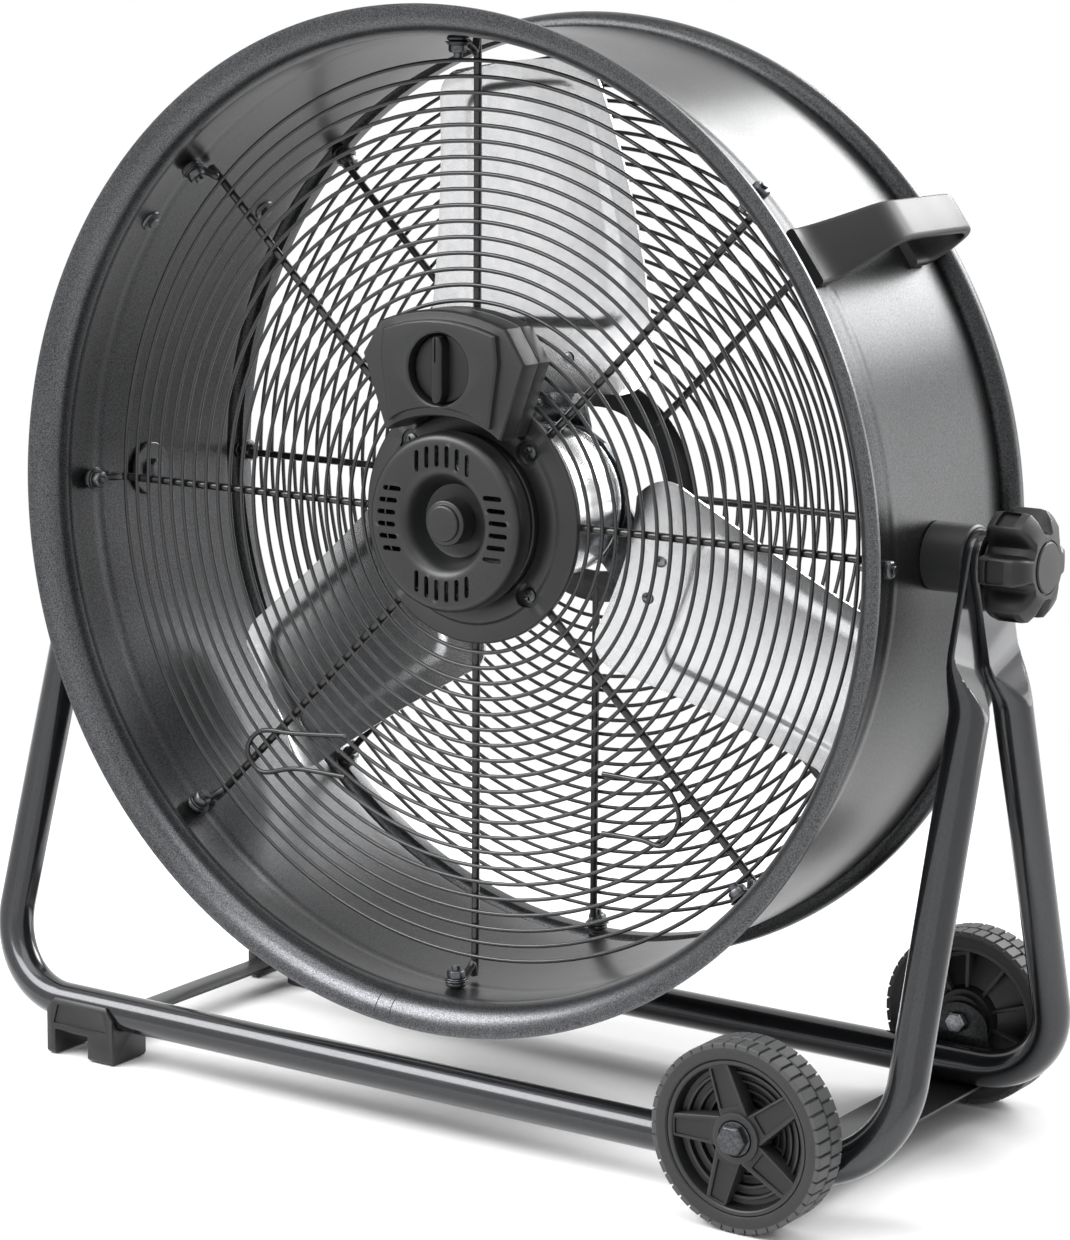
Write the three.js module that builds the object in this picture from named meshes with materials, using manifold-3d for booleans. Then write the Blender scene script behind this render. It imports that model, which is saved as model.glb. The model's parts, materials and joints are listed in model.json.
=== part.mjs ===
// A 24 inch drum fan: a rolled steel drum with two wire guards, a three bladed fan with its motor,
// and a stand of two bent tubes with two wheels and two feet.
// Millimetres, +Z up, the front of the fan faces -Y. The origin is on the floor, under the drum.

import * as THREE from 'three';
import { mergeVertices } from 'three/addons/utils/BufferGeometryUtils.js';
import Module from 'manifold-3d';

// ---------------------------------------------------------------- driving dimensions

const GAP = 0.3;                 // clearance between pieces that touch
const PIVOT_HEIGHT = 402;        // tilt axis above the floor

const drum = {
  radius: 321, wall: 2, front: -107, rear: 120, lipRadius: 340, flare: 19,
  beadY: 101, beadHalf: 10, beadHeight: 11, sides: 40,
};

const guard = {
  ringPitch: 10.5, firstRing: 91.5, rings: 21, wire: 1.9, rod: 2.3, rods: 8, fineFrom: 160,
  hubInner: 58, hubOuter: 80, hubThick: 2.4, rodStart: 70, bendRadius: 306, eyeRadius: 317.3, eyeDisc: 8,
};
const frontGuard = { y: -41.5, boltY: -64, ringSide: -1 };
const rearGuard = { y: 106, boltY: 111, ringSide: 1 };

const motor = {
  casingRadius: 53, casingFront: -44.2, casingRear: 52, wall: 2.5,
  coverRadius: 60, coverFront: -82, coverRear: -66.5, recessRadius: 31, recessFloor: -64.5,
  collarRadius: 57, capRadius: 15.3, shaft: 6, shaftFront: -44, shaftRear: 88,
};

const core = {
  rotor: 30.4, statorInner: 31, statorOuter: 49.8, windingInner: 34, windingOuter: 47,
  stator: [-18, 34], frontWinding: [-30, -18.3], rearWinding: [34.3, 44],
};
const bearing = { seat: 14, width: 8, rearStart: 47.3 };

const slot = { count: 6, pitch: 8.1, length: 14.5, width: 3.3, radius: 45 };

const plate = {
  radius: 85, stepRadius: 69, bore: 61, stepBore: 55, front: -49.6, rear: -44.5, stepFront: -53,
  pocket: 8.5, pocketAt: 64,
};

const box = {
  shoulder: -82, face: -87, split: -64, rear: -49.9, wall: 2.2,
  topZ: 141, topCornerZ: 131.5, topHalf: 50, wideHalf: 64.5, wideZ: 109,
  bottomHalf: 46, bottomZ: 58.5, bottomArchZ: 71,
  faceTopZ: 135, faceTopCornerZ: 127, faceTopHalf: 44.5,
  faceBottomHalf: 40, faceBottomZ: 66, faceArchZ: 77,
};
const gland = { z: 88, y: -57, hole: 5, stem: 4.7, flange: 7.5, nose: 5.5, bore: 3.3 };
const spindle = { radius: 3.7, hole: 4.1 };
const dial = { z: 102.4, radius: 23.4, recess: 24, recessDepth: 11, gripWidth: 11, proud: 2.5 };

const blade = {
  count: 3, firstAngle: 91.8, tipRadius: 300, rootRadius: 74, thick: 2, camber: 10,
  tipCorner: 15, rootCorner: 30,
};
const hub = {
  front: 62, rear: 66, radius: 52, boss: 16, bossFront: 58, bossRear: 82, thick: 3,
  armWidth: 46, armStart: 34, armBend: 50, armRadii: [82, 104, 128], armGap: 1,
};

// The route holds the radius, the depth and the width along the middle of the handle.
const handle = {
  angle: 35.6, thick: 7, chamfer: 1.6,
  route: [
    [323.5, -70, 40], [323.5, -57, 40], [326, -51, 38], [352, -16, 30], [357, -7, 28],
    [357.5, 3, 28], [357.5, 76, 28], [356.5, 83, 28], [350, 86.5, 28], [332, 81, 32],
    [325, 76, 34], [323.5, 69, 34], [323.5, 55, 34],
  ],
};

const tube = {
  radius: 12.7, y: 117.5, z: 35, halfWidth: 362, bend: 62,
  flatThick: 4.8, flatHalf: 20, flatFrom: 65, roundFrom: 97, sides: 12, bendSteps: 5,
};
const pivot = {
  spacerRadius: 22, spacerOuter: 350, discRadius: 19, discInner: 314.6, boltRadius: 5,
  boltHead: 7.5, boltHeadThick: 5, boltEnd: 386, hole: 5.4, frontPaddle: 352.7, rearPaddle: 357.8,
};
const knob = { radius: 36, valley: 27, start: 360.7, bodyStart: 366, end: 399.6, neck: 15, lobes: 6 };

const wheel = {
  x: 279, z: 60, radius: 60, inner: 138, outer: 166, rimRadius: 49, hub: 15, hubInner: 133.2,
  bore: 4.6, spokes: 5, spokeAngle: 36, spokeRoot: 6, spokeTip: 7, spokeSweep: 4, blocks: 24,
  treadDepth: 3.5,
};
const axle = { radius: 4.2, headRadius: 10, headThick: 6, nutRadius: 7.5, nutThick: 6 };
const bracket = { x: 279.5, width: 45, thick: 2.2, ear: 132.8, earTop: 73 };
const strap = { x: -283.5, width: 22, z: 15.4, thick: 2.5, halfLength: 128 };
const foot = { x: -276, length: 60, front: 133, back: 96, top: 41, channel: 30 };
const hookWire = { y: -48.5, radius: 1.7 };
const leftHook = { closedX: -190, openX: -105, upperZ: -168, lowerZ: -197, rise: 6 };
const rightHook = { closedX: 165, openX: 106, upperZ: -161, lowerZ: -201, rise: 1 };

// ---------------------------------------------------------------- geometry helpers

const wasm = await Module();
wasm.setup();

const WELD = 1e-3;
const RIGHT_ANGLE = Math.PI / 2;

function radians(degrees) {
  return THREE.MathUtils.degToRad(degrees);
}

function signedVolume(geometry) {
  const p = geometry.getAttribute('position');
  const index = geometry.index.array;
  const a = new THREE.Vector3();
  const b = new THREE.Vector3();
  const c = new THREE.Vector3();
  let volume = 0;
  for (let i = 0; i < index.length; i += 3) {
    a.fromBufferAttribute(p, index[i]);
    b.fromBufferAttribute(p, index[i + 1]);
    c.fromBufferAttribute(p, index[i + 2]);
    volume += a.dot(b.cross(c));
  }
  return volume;
}

// Shares the vertices of a geometry, drops its empty faces and turns them outwards.
function welded(geometry) {
  const loose = geometry.index ? geometry.toNonIndexed() : geometry.clone();
  loose.deleteAttribute('normal');
  loose.deleteAttribute('uv');
  const shared = mergeVertices(loose, WELD);
  const index = shared.index.array;
  const faces = [];
  for (let i = 0; i < index.length; i += 3) {
    const [a, b, c] = [index[i], index[i + 1], index[i + 2]];
    if (a !== b && b !== c && c !== a) faces.push(a, b, c);
  }
  shared.setIndex(faces);
  if (signedVolume(shared) < 0) {
    for (let i = 0; i < faces.length; i += 3) {
      [faces[i + 1], faces[i + 2]] = [faces[i + 2], faces[i + 1]];
    }
    shared.setIndex(faces);
  }
  return shared;
}

function solidOf(geometry) {
  const body = welded(geometry);
  const mesh = new wasm.Mesh({
    numProp: 3,
    vertProperties: new Float32Array(body.getAttribute('position').array),
    triVerts: new Uint32Array(body.index.array),
  });
  return new wasm.Manifold(mesh);
}

function geometryOf(solid) {
  const mesh = solid.getMesh();
  const geometry = new THREE.BufferGeometry();
  geometry.setAttribute('position', new THREE.BufferAttribute(mesh.vertProperties, 3));
  geometry.setIndex(new THREE.BufferAttribute(mesh.triVerts, 1));
  return geometry;
}

function joined(...geometries) {
  const solids = geometries.map(solidOf);
  return geometryOf(solids.reduce((whole, piece) => whole.add(piece)));
}

function cut(geometry, ...tools) {
  const solids = tools.map(solidOf);
  return geometryOf(solids.reduce((whole, tool) => whole.subtract(tool), solidOf(geometry)));
}

// A body turned about the Y axis from a closed outline of [radius, y] points.
function turned(outline, sides) {
  const points = outline.map(([r, y]) => new THREE.Vector2(r, y));
  points.push(points[0].clone());
  return new THREE.LatheGeometry(points, sides);
}

// A ring or, with no inner radius, a disc about the Y axis.
function ring(inner, outer, yStart, yEnd, sides) {
  return turned([[inner, yStart], [outer, yStart], [outer, yEnd], [inner, yEnd]], sides);
}

function shapeOf(points) {
  return new THREE.Shape(points.map(([x, y]) => new THREE.Vector2(x, y)));
}

// A front view outline, x to the right and z up, given thickness from yStart to yEnd.
function slab(shape, yStart, yEnd, curveSegments = 6) {
  const geometry = new THREE.ExtrudeGeometry(shape, {
    depth: yEnd - yStart, bevelEnabled: false, curveSegments,
  });
  return geometry.rotateX(RIGHT_ANGLE).translate(0, yEnd, 0);
}

function block(xStart, xEnd, yStart, yEnd, zStart, zEnd) {
  const geometry = new THREE.BoxGeometry(xEnd - xStart, yEnd - yStart, zEnd - zStart);
  return geometry.translate((xStart + xEnd) / 2, (yStart + yEnd) / 2, (zStart + zEnd) / 2);
}

// A round bar between two points.
function bar(from, to, radius, sides) {
  const start = new THREE.Vector3(...from);
  const along = new THREE.Vector3(...to).sub(start);
  const geometry = new THREE.CylinderGeometry(radius, radius, along.length(), sides);
  const turn = new THREE.Quaternion().setFromUnitVectors(
    new THREE.Vector3(0, 1, 0), along.clone().normalize());
  return geometry.applyQuaternion(turn).translate(...start.addScaledVector(along, 0.5).toArray());
}

// A body through a row of sections, each a loop of the same number of points.
function lofted(sections) {
  const count = sections[0].length;
  const positions = sections.flat().flatMap((point) => point.toArray());
  const faces = [];
  for (let s = 0; s + 1 < sections.length; s += 1) {
    for (let k = 0; k < count; k += 1) {
      const a = s * count + k;
      const b = s * count + (k + 1) % count;
      faces.push(a, b, b + count, a, b + count, a + count);
    }
  }
  const last = (sections.length - 1) * count;
  for (let k = 1; k + 1 < count; k += 1) {
    faces.push(0, k + 1, k, last, last + k, last + k + 1);
  }
  const geometry = new THREE.BufferGeometry();
  geometry.setAttribute('position', new THREE.Float32BufferAttribute(positions, 3));
  geometry.setIndex(faces);
  return geometry;
}

function arc(centreR, centreY, radius, startDegrees, endDegrees, steps) {
  const points = [];
  for (let i = 0; i <= steps; i += 1) {
    const angle = radians(startDegrees + (endDegrees - startDegrees) * i / steps);
    points.push([centreR + radius * Math.cos(angle), centreY + radius * Math.sin(angle)]);
  }
  return points;
}

// Points along a shallow arch from (-half, endZ) to (half, endZ) that passes (0, crownZ).
function arch(half, endZ, crownZ, steps) {
  const points = [];
  for (let i = 0; i <= steps; i += 1) {
    const x = -half + 2 * half * i / steps;
    points.push([x, endZ + (crownZ - endZ) * (1 - (x / half) ** 2)]);
  }
  return points;
}

// ---------------------------------------------------------------- finishes

function finish(color, roughness, metalness) {
  return new THREE.MeshStandardMaterial({ color, roughness, metalness });
}

const powderCoat = finish(0x3a3a3b, 0.45, 0.3);
const wirePaint = finish(0x202021, 0.35, 0.4);
const tubePaint = finish(0x55555a, 0.3, 0.8);
const blackPlastic = finish(0x2b2b2c, 0.55, 0.0);
const greyPlastic = finish(0x454546, 0.5, 0.0);
const aluminium = finish(0xc9cacc, 0.3, 1.0);
const steel = finish(0x8d8f92, 0.35, 1.0);
const rubber = finish(0x262627, 0.8, 0.0);
const copper = finish(0x9a5a32, 0.45, 1.0);

const model = new THREE.Group();
const drumGroup = new THREE.Group();
drumGroup.position.z = PIVOT_HEIGHT;
model.add(drumGroup);

function add(group, name, geometry, material) {
  const mesh = new THREE.Mesh(welded(geometry), material);
  mesh.name = name;
  group.add(mesh);
  return mesh;
}

// ---------------------------------------------------------------- drum

function drumShell() {
  const inner = drum.radius - drum.wall;
  const lipCentre = inner + drum.flare;
  const flareY = drum.front + drum.flare;
  const bead = (offset) => [140, 90, 40].map((degrees) => [
    drum.radius - offset + (drum.beadHeight - 1) * Math.sin(radians(degrees)),
    drum.beadY + drum.beadHalf * Math.cos(radians(degrees)) * (1 - offset / 20),
  ]);
  const outline = [
    ...arc(lipCentre, flareY, drum.flare, 180, 265, 3),
    [drum.lipRadius, drum.front + 1.5],
    [drum.lipRadius, drum.front + 5],
    ...arc(lipCentre, flareY, drum.flare - drum.wall, 250, 180, 2),
    [drum.radius, drum.beadY - drum.beadHalf - 2],
    ...bead(0),
    [drum.radius, drum.beadY + drum.beadHalf + 1],
    [drum.radius, drum.rear],
    [inner, drum.rear],
    [inner, drum.beadY + drum.beadHalf],
    ...bead(drum.wall).reverse(),
    [inner, drum.beadY - drum.beadHalf - 1],
  ];
  const reach = drum.radius + 10;
  const hole = bar([-reach, 0, 0], [reach, 0, 0], pivot.hole, 8);
  return cut(turned(outline, drum.sides), hole);
}

// ---------------------------------------------------------------- guards

// One round wire of the guard, with a flat side towards the rods.
function wireRing(radius, y, ringSide) {
  const sides = radius < guard.fineFrom ? 12 : 16;
  const outline = arc(radius, y, guard.wire, 90 * ringSide, 90 * ringSide + 240, 2);
  return turned(outline, sides);
}

// One square rod, straight across the guard, then bent to its eye on the drum wall.
function guardRod(angle, y, boltY) {
  const { rod, rodStart, eyeRadius, bendRadius } = guard;
  const section = (r, at, half) => [
    new THREE.Vector3(r, at - rod, -half), new THREE.Vector3(r, at - rod, half),
    new THREE.Vector3(r, at + rod, half), new THREE.Vector3(r, at + rod, -half),
  ];
  const shaft = lofted([
    section(rodStart, y, rod), section(bendRadius, y, rod), section(eyeRadius - 2, boltY, rod),
  ]);
  const eye = bar([eyeRadius - 2.5, boltY, 0], [eyeRadius + 0.8, boltY, 0], guard.eyeDisc, 8);
  return joined(shaft, eye).rotateY(-radians(angle));
}

function guardGrille({ y, boltY, ringSide }) {
  const embed = 0.3;
  const ringY = y + ringSide * (guard.rod + guard.wire / 2 - embed);
  const pieces = [ring(guard.hubInner, guard.hubOuter, y - guard.hubThick / 2, y + guard.hubThick / 2, 24)];
  for (let i = 0; i < guard.rods; i += 1) {
    // The rings are welded to the two level rods and only pass over the others.
    const setBack = i % 4 === 0 ? 0 : 2 * embed;
    pieces.push(guardRod(360 * i / guard.rods, y - ringSide * setBack, boltY));
  }
  for (let i = 0; i < guard.rings; i += 1) {
    pieces.push(wireRing(guard.firstRing + guard.ringPitch * i, ringY, ringSide));
  }
  return joined(...pieces);
}


// A wire hook for the cord, laid on the front of the guard with its closed end outwards.
function cordHook(side, { closedX, openX, upperZ, lowerZ, rise }) {
  const bow = 12 * side;
  const middle = (upperZ + lowerZ) / 2;
  const route = [
    [openX, upperZ + rise], [(openX + closedX) / 2, upperZ + rise / 3], [closedX - bow, upperZ],
    [closedX, middle], [closedX - bow, lowerZ], [(openX + closedX) / 2, lowerZ + rise],
    [openX, lowerZ + rise],
  ].map(([x, z]) => new THREE.Vector3(x, hookWire.y, z));
  const section = shapeOf(arc(0, 0, hookWire.radius, 0, 288, 4));
  return new THREE.ExtrudeGeometry(section, {
    extrudePath: new THREE.CatmullRomCurve3(route), steps: 16,
  });
}

// ---------------------------------------------------------------- motor

function motorFrontCover() {
  const { coverRadius: r, coverFront: front, coverRear: rear, recessRadius, recessFloor } = motor;
  const edge = 6;
  const wall = motor.wall;
  const bossRadius = recessRadius - 9;
  const outline = [
    [0, recessFloor], [bossRadius, recessFloor], [recessRadius - 3, recessFloor - 8],
    [recessRadius, front], ...arc(r - edge, front + edge, edge, -90, 0, 2),
    [r, rear], [r - wall, rear], [r - wall, front + edge], [r - edge, front + wall],
    [recessRadius + 2, front + wall], [bossRadius + 3, recessFloor + wall], [0, recessFloor + wall],
  ];
  return cut(turned(outline, 24), ...coverSlots());
}

// Four groups of six cooling slots: upright above and below the centre, level on its two sides.
function coverSlots() {
  const slots = [];
  for (let group = 0; group < 4; group += 1) {
    for (let i = 0; i < slot.count; i += 1) {
      const x = (i - (slot.count - 1) / 2) * slot.pitch;
      const z = Math.sqrt(slot.radius ** 2 - x ** 2);
      const front = motor.coverFront;
      const tool = block(x - slot.width / 2, x + slot.width / 2, front - 1, front + 4,
        z - slot.length / 2, z + slot.length / 2);
      slots.push(tool.rotateY(RIGHT_ANGLE * group));
    }
  }
  return slots;
}

function motorEndCap() {
  const back = motor.recessFloor - GAP;
  const front = motor.coverFront;
  const r = motor.capRadius;
  return turned([
    [0, back], [r, back], [r, front + 2], [r - 1.5, front], [r - 3, front],
    [r - 3.5, front + 1.5], [0, front + 1.5],
  ], 16);
}

function mountingPlate() {
  const { radius, stepRadius, bore, stepBore, front, rear, stepFront, pocketAt } = plate;
  const disc = turned([
    [bore, rear], [radius, rear], [radius, front + 1], [radius - 1, front], [stepRadius + 1, front],
    [stepRadius, stepFront], [stepBore, stepFront], [stepBore, stepFront + 3], [bore, front + 1],
  ], 24);
  const pockets = [45, 135, 225, 315].map((angle) => {
    const pocket = ring(0, plate.pocket, stepFront - 1, front, 8);
    const turn = radians(angle);
    return pocket.translate(pocketAt * Math.cos(turn), 0, pocketAt * Math.sin(turn));
  });
  return cut(disc, ...pockets);
}

function motorCollar() {
  const r = motor.collarRadius;
  return ring(r - motor.wall, r, motor.coverRear + GAP, plate.stepFront - GAP, 24);
}

function motorCasing() {
  const { casingRadius: r, casingFront: front, casingRear: rear, wall } = motor;
  return turned([
    [bearing.seat, front], [r - 3, front], [r, front + 3], [r, rear], [r - wall, rear],
    [r - wall, front + wall], [bearing.seat + 3, front + wall],
    [bearing.seat + 3, front + bearing.width], [bearing.seat, front + bearing.width],
  ], 20);
}

function motorRearBell() {
  const { casingRadius: r, casingRear } = motor;
  const start = casingRear + GAP;
  const seat = bearing.seat;
  return turned([
    [seat, start - 5], [seat + 3, start - 5], [seat + 3, start], [r, start], [r, start + 1.5],
    [r - 2.5, start + 4], [seat, start + 4],
  ], 20);
}

function bearingAt(y) {
  return ring(motor.shaft + GAP, bearing.seat - GAP, y, y + bearing.width, 12);
}

function motorShaft() {
  return bar([0, motor.shaftFront, 0], [0, motor.shaftRear, 0], motor.shaft, 12);
}

function winding(span) {
  return ring(core.windingInner, core.windingOuter, ...span, 14);
}

// ---------------------------------------------------------------- control box

// The outline of the box at one depth: an arched foot, sides that lean outwards and an arched top.
function boxOutline({ bottomHalf, bottomZ, archZ, wideHalf, wideZ, topHalf, topCornerZ, topZ }) {
  return [
    ...arch(bottomHalf, bottomZ, archZ, 6),
    [wideHalf, wideZ],
    ...arch(topHalf, topCornerZ, topZ, 6).reverse(),
    [-wideHalf, wideZ],
  ];
}

const outerBox = {
  bottomHalf: box.bottomHalf, bottomZ: box.bottomZ, archZ: box.bottomArchZ, wideHalf: box.wideHalf,
  wideZ: box.wideZ, topHalf: box.topHalf, topCornerZ: box.topCornerZ, topZ: box.topZ,
};
const raisedFace = {
  bottomHalf: box.faceBottomHalf, bottomZ: box.faceBottomZ, archZ: box.faceArchZ,
  wideHalf: box.faceTopHalf + 2, wideZ: box.wideZ, topHalf: box.faceTopHalf,
  topCornerZ: box.faceTopCornerZ, topZ: box.faceTopZ,
};

// The same outline drawn in by an even margin.
function inset(outline, margin) {
  return {
    bottomHalf: outline.bottomHalf - margin, bottomZ: outline.bottomZ + margin,
    archZ: outline.archZ + margin, wideHalf: outline.wideHalf - margin, wideZ: outline.wideZ,
    topHalf: outline.topHalf - margin, topCornerZ: outline.topCornerZ - margin,
    topZ: outline.topZ - margin,
  };
}

function boxSection(outline, y) {
  return boxOutline(outline).map(([x, z]) => new THREE.Vector3(x, y, z));
}

function controlBoxFront() {
  const shell = lofted([
    boxSection(outerBox, box.split - GAP), boxSection(outerBox, box.shoulder + 3),
    boxSection(inset(outerBox, 2.5), box.shoulder), boxSection(inset(raisedFace, -2.5), box.shoulder),
    boxSection(raisedFace, box.face),
  ]);
  const inside = lofted([
    boxSection(inset(outerBox, box.wall), box.split + 1),
    boxSection(inset(outerBox, box.wall), box.shoulder + 4),
    boxSection(inset(raisedFace, box.wall), box.shoulder + 3),
    boxSection(inset(raisedFace, box.wall), box.face + box.wall),
  ]);
  const cupFloor = box.face + dial.recessDepth;
  const cup = atDial(ring(0, dial.recess + box.wall, box.face + 1, cupFloor + box.wall, 20));
  const recess = atDial(ring(0, dial.recess, box.face - 1, cupFloor, 20));
  const spindleHole = atDial(ring(0, spindle.hole, cupFloor - 1, cupFloor + box.wall + 1, 8));
  return cut(joined(cut(shell, inside), cup), recess, spindleHole);
}

function controlBoxBack() {
  const tray = lofted([boxSection(outerBox, box.rear), boxSection(outerBox, box.split)]);
  const inside = lofted([
    boxSection(inset(outerBox, box.wall), box.rear - box.wall),
    boxSection(inset(outerBox, box.wall), box.split - 1),
  ]);
  const [from, to] = glandLine(-6, 6);
  return cut(tray, inside, bar(from, to, gland.hole, 8));
}

function atDial(geometry) {
  return geometry.translate(0, 0, dial.z);
}

// Two points on the gland's axis, square to the leaning left side of the box, measured from it.
function glandLine(startOut, endOut) {
  const rise = box.wideZ - box.bottomZ;
  const lean = box.wideHalf - box.bottomHalf;
  const side = Math.hypot(rise, lean);
  const share = (gland.z - box.bottomZ) / rise;
  const x = -(box.bottomHalf + lean * share);
  return [startOut, endOut].map((out) => [x - out * rise / side, gland.y, gland.z - out * lean / side]);
}

function cordGland() {
  const flange = bar(...glandLine(GAP, 4), gland.flange, 10);
  const stem = bar(...glandLine(-4, 1), gland.stem, 8);
  const nose = bar(...glandLine(3.5, 12), gland.nose, 8);
  const bore = bar(...glandLine(-5, 13), gland.bore, 6);
  return cut(joined(flange, stem, nose), bore);
}

function speedSwitch() {
  const front = box.face + dial.recessDepth + box.wall + GAP;
  const half = 17;
  const body = block(-half, half, front, front + 15, dial.z - 15, dial.z + 15);
  return cut(body, atDial(ring(0, spindle.hole, front - 1, front + 8, 10)));
}

function capacitor() {
  const back = box.rear - box.wall - GAP;
  return block(24, 52, back - 18, back, 90, 120);
}

function speedKnob() {
  const back = box.face + dial.recessDepth - GAP;
  const disc = turned([
    [0, back], [dial.radius, back], [dial.radius, back - 3], [dial.radius - 1.5, back - 4.5],
    [0, back - 4.5],
  ], 20);
  const half = dial.gripWidth / 2;
  const reach = dial.radius - 1.4;
  const top = box.face - dial.proud;
  const section = (z, width) => [
    new THREE.Vector3(-width, back - 4, z), new THREE.Vector3(width, back - 4, z),
    new THREE.Vector3(width * 0.72, top, z), new THREE.Vector3(-width * 0.72, top, z),
  ];
  const grip = lofted([
    section(-reach, half * 0.45), section(-reach * 0.72, half), section(reach * 0.72, half),
    section(reach, half * 0.45),
  ]);
  const stem = ring(0, spindle.radius, back - 1, back + 9, 8);
  return atDial(joined(disc, grip, stem));
}

// ---------------------------------------------------------------- rotor

// Half widths of a blade at one radius, towards its front edge and towards its rear edge.
function bladeEdges(r) {
  const u = (blade.tipRadius - r) / 230;
  const end = (distance, corner) => {
    const short = Math.max(corner - distance, 0);
    return corner - Math.sqrt(corner ** 2 - short ** 2);
  };
  const trim = end(blade.tipRadius - r, blade.tipCorner) + end(r - blade.rootRadius, blade.rootCorner);
  return {
    front: 76.9 - 12.6 * u + 17.7 * u ** 2 - trim,
    rear: 38.9 + 52.2 * u - 6.5 * u ** 2 - trim,
    frontY: 36 - 11.5 * u - 14.1 * u ** 2,
    rearY: 49.5 + 70.2 * u - 73.4 * u ** 2,
  };
}

// The place of the blade's middle surface at a radius and a share of the way from its front edge
// to its rear edge. The tip runs along a circle, and the root is straight.
function bladePoint(r, share) {
  const { front, rear, frontY, rearY } = bladeEdges(r);
  const t = front - share * (front + rear);
  const y = frontY + share * (rearY - frontY) + 4 * blade.camber * share * (1 - share);
  const outward = (r - blade.rootRadius) / (blade.tipRadius - blade.rootRadius);
  const fall = r - Math.sqrt(r ** 2 - t ** 2);
  return new THREE.Vector3(r - fall * outward, y, t);
}

// The section of a thin strip on the blade's surface at one radius, moved back by an offset.
function bladeSection(r, startShare, endShare, thick, offset, steps) {
  const line = (shift) => {
    const points = [];
    for (let i = 0; i <= steps; i += 1) {
      const share = startShare + (endShare - startShare) * i / steps;
      points.push(bladePoint(r, share).add(new THREE.Vector3(0, offset + shift, 0)));
    }
    return points;
  };
  return [...line(-thick / 2), ...line(thick / 2).reverse()];
}

function bladeAngle(i) {
  return blade.firstAngle + 360 * i / blade.count;
}

function fanBlade(i) {
  const { rootRadius: root, tipRadius: tip } = blade;
  const radii = [root + 0.5, ...hub.armRadii, 170, 215, 260, tip - 15, tip - 5, tip - 0.5];
  const sections = radii.map((r) => bladeSection(r, 0, 1, blade.thick, 0, 6));
  return lofted(sections).rotateY(-radians(bladeAngle(i)));
}

// The pressed hub: a disc with a boss on the shaft, and three arms that lie behind the blades.
function hubSpider() {
  const { front, rear, radius, boss, bossFront, bossRear, thick, armStart, armBend } = hub;
  const disc = turned([
    [motor.shaft + GAP, bossFront], [boss, bossFront], [boss, front], [radius, front],
    [radius, rear], [boss, rear], [boss, bossRear], [motor.shaft + GAP, bossRear],
  ], 18);
  const offset = (blade.thick + thick) / 2 + hub.armGap;
  const middle = (front + rear) / 2;
  const wide = hub.armWidth / 2;
  const flat = (x, y) => [[-1, 1], [-1, 0], [-1, -1], [1, -1], [1, 0], [1, 1]].map(
    ([face, edge]) => new THREE.Vector3(x, y + face * thick / 2, edge * wide));
  const arm = lofted([
    flat(armStart, middle), flat(armBend, middle),
    ...hub.armRadii.map((r) => bladeSection(r, 1 / 3, 2 / 3, thick, offset, 2)),
  ]);
  const arms = [];
  for (let i = 0; i < blade.count; i += 1) {
    arms.push(arm.clone().rotateY(-radians(bladeAngle(i))));
  }
  return joined(disc, ...arms);
}

// ---------------------------------------------------------------- handles

function handleAt(angle) {
  const { route, thick, chamfer } = handle;
  const sections = route.map(([r, y, w], i) => {
    const [r0, y0] = route[Math.max(i - 1, 0)];
    const [r1, y1] = route[Math.min(i + 1, route.length - 1)];
    const along = Math.hypot(r1 - r0, y1 - y0);
    const out = new THREE.Vector3((y1 - y0) / along, -(r1 - r0) / along, 0);
    const corner = (side, edge, half) => new THREE.Vector3(r, y, edge * half)
      .addScaledVector(out, side * thick / 2);
    const loop = [];
    for (const [side, edge] of [[-1, -1], [-1, 1], [1, 1], [1, -1]]) {
      const inner = new THREE.Vector3(r, y, edge * (w / 2)).addScaledVector(
        out, side * (thick / 2 - chamfer));
      const outer = corner(side, edge, w / 2 - chamfer);
      loop.push(...(side * edge > 0 ? [inner, outer] : [outer, inner]));
    }
    return loop;
  });
  const bow = lofted(sections).rotateY(-radians(angle));
  const wall = ring(0, drum.radius + GAP, drum.front, drum.rear, drum.sides);
  return cut(bow, wall);
}

// ---------------------------------------------------------------- tilt pivots

// Pivot pieces are drawn for the right side, along +X; a side of -1 mirrors them to the left.
function mirrored(geometry, side) {
  return side < 0 ? geometry.scale(-1, 1, 1) : geometry;
}

function pivotSpacer(side) {
  const blank = bar([drum.radius - 4, 0, 0], [pivot.spacerOuter, 0, 0], pivot.spacerRadius, 16);
  const wall = ring(0, drum.radius + GAP, -40, 40, drum.sides);
  const bore = bar([drum.radius - 9, 0, 0], [pivot.spacerOuter + 1, 0, 0], pivot.hole, 8);
  return mirrored(cut(blank, wall, bore), side);
}

function pivotPlate(side) {
  const start = pivot.discInner;
  const disc = bar([start, 0, 0], [start + 2.8, 0, 0], pivot.discRadius, 14);
  return mirrored(cut(disc, bar([start - 1, 0, 0], [start + 4, 0, 0], pivot.hole, 8)), side);
}

function pivotBolt(side) {
  const headBack = pivot.discInner - GAP;
  const head = bar([headBack - pivot.boltHeadThick, 0, 0], [headBack, 0, 0], pivot.boltHead, 6);
  const shank = bar([headBack - 1, 0, 0], [pivot.boltEnd, 0, 0], pivot.boltRadius, 8);
  return mirrored(joined(head, shank), side);
}

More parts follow.
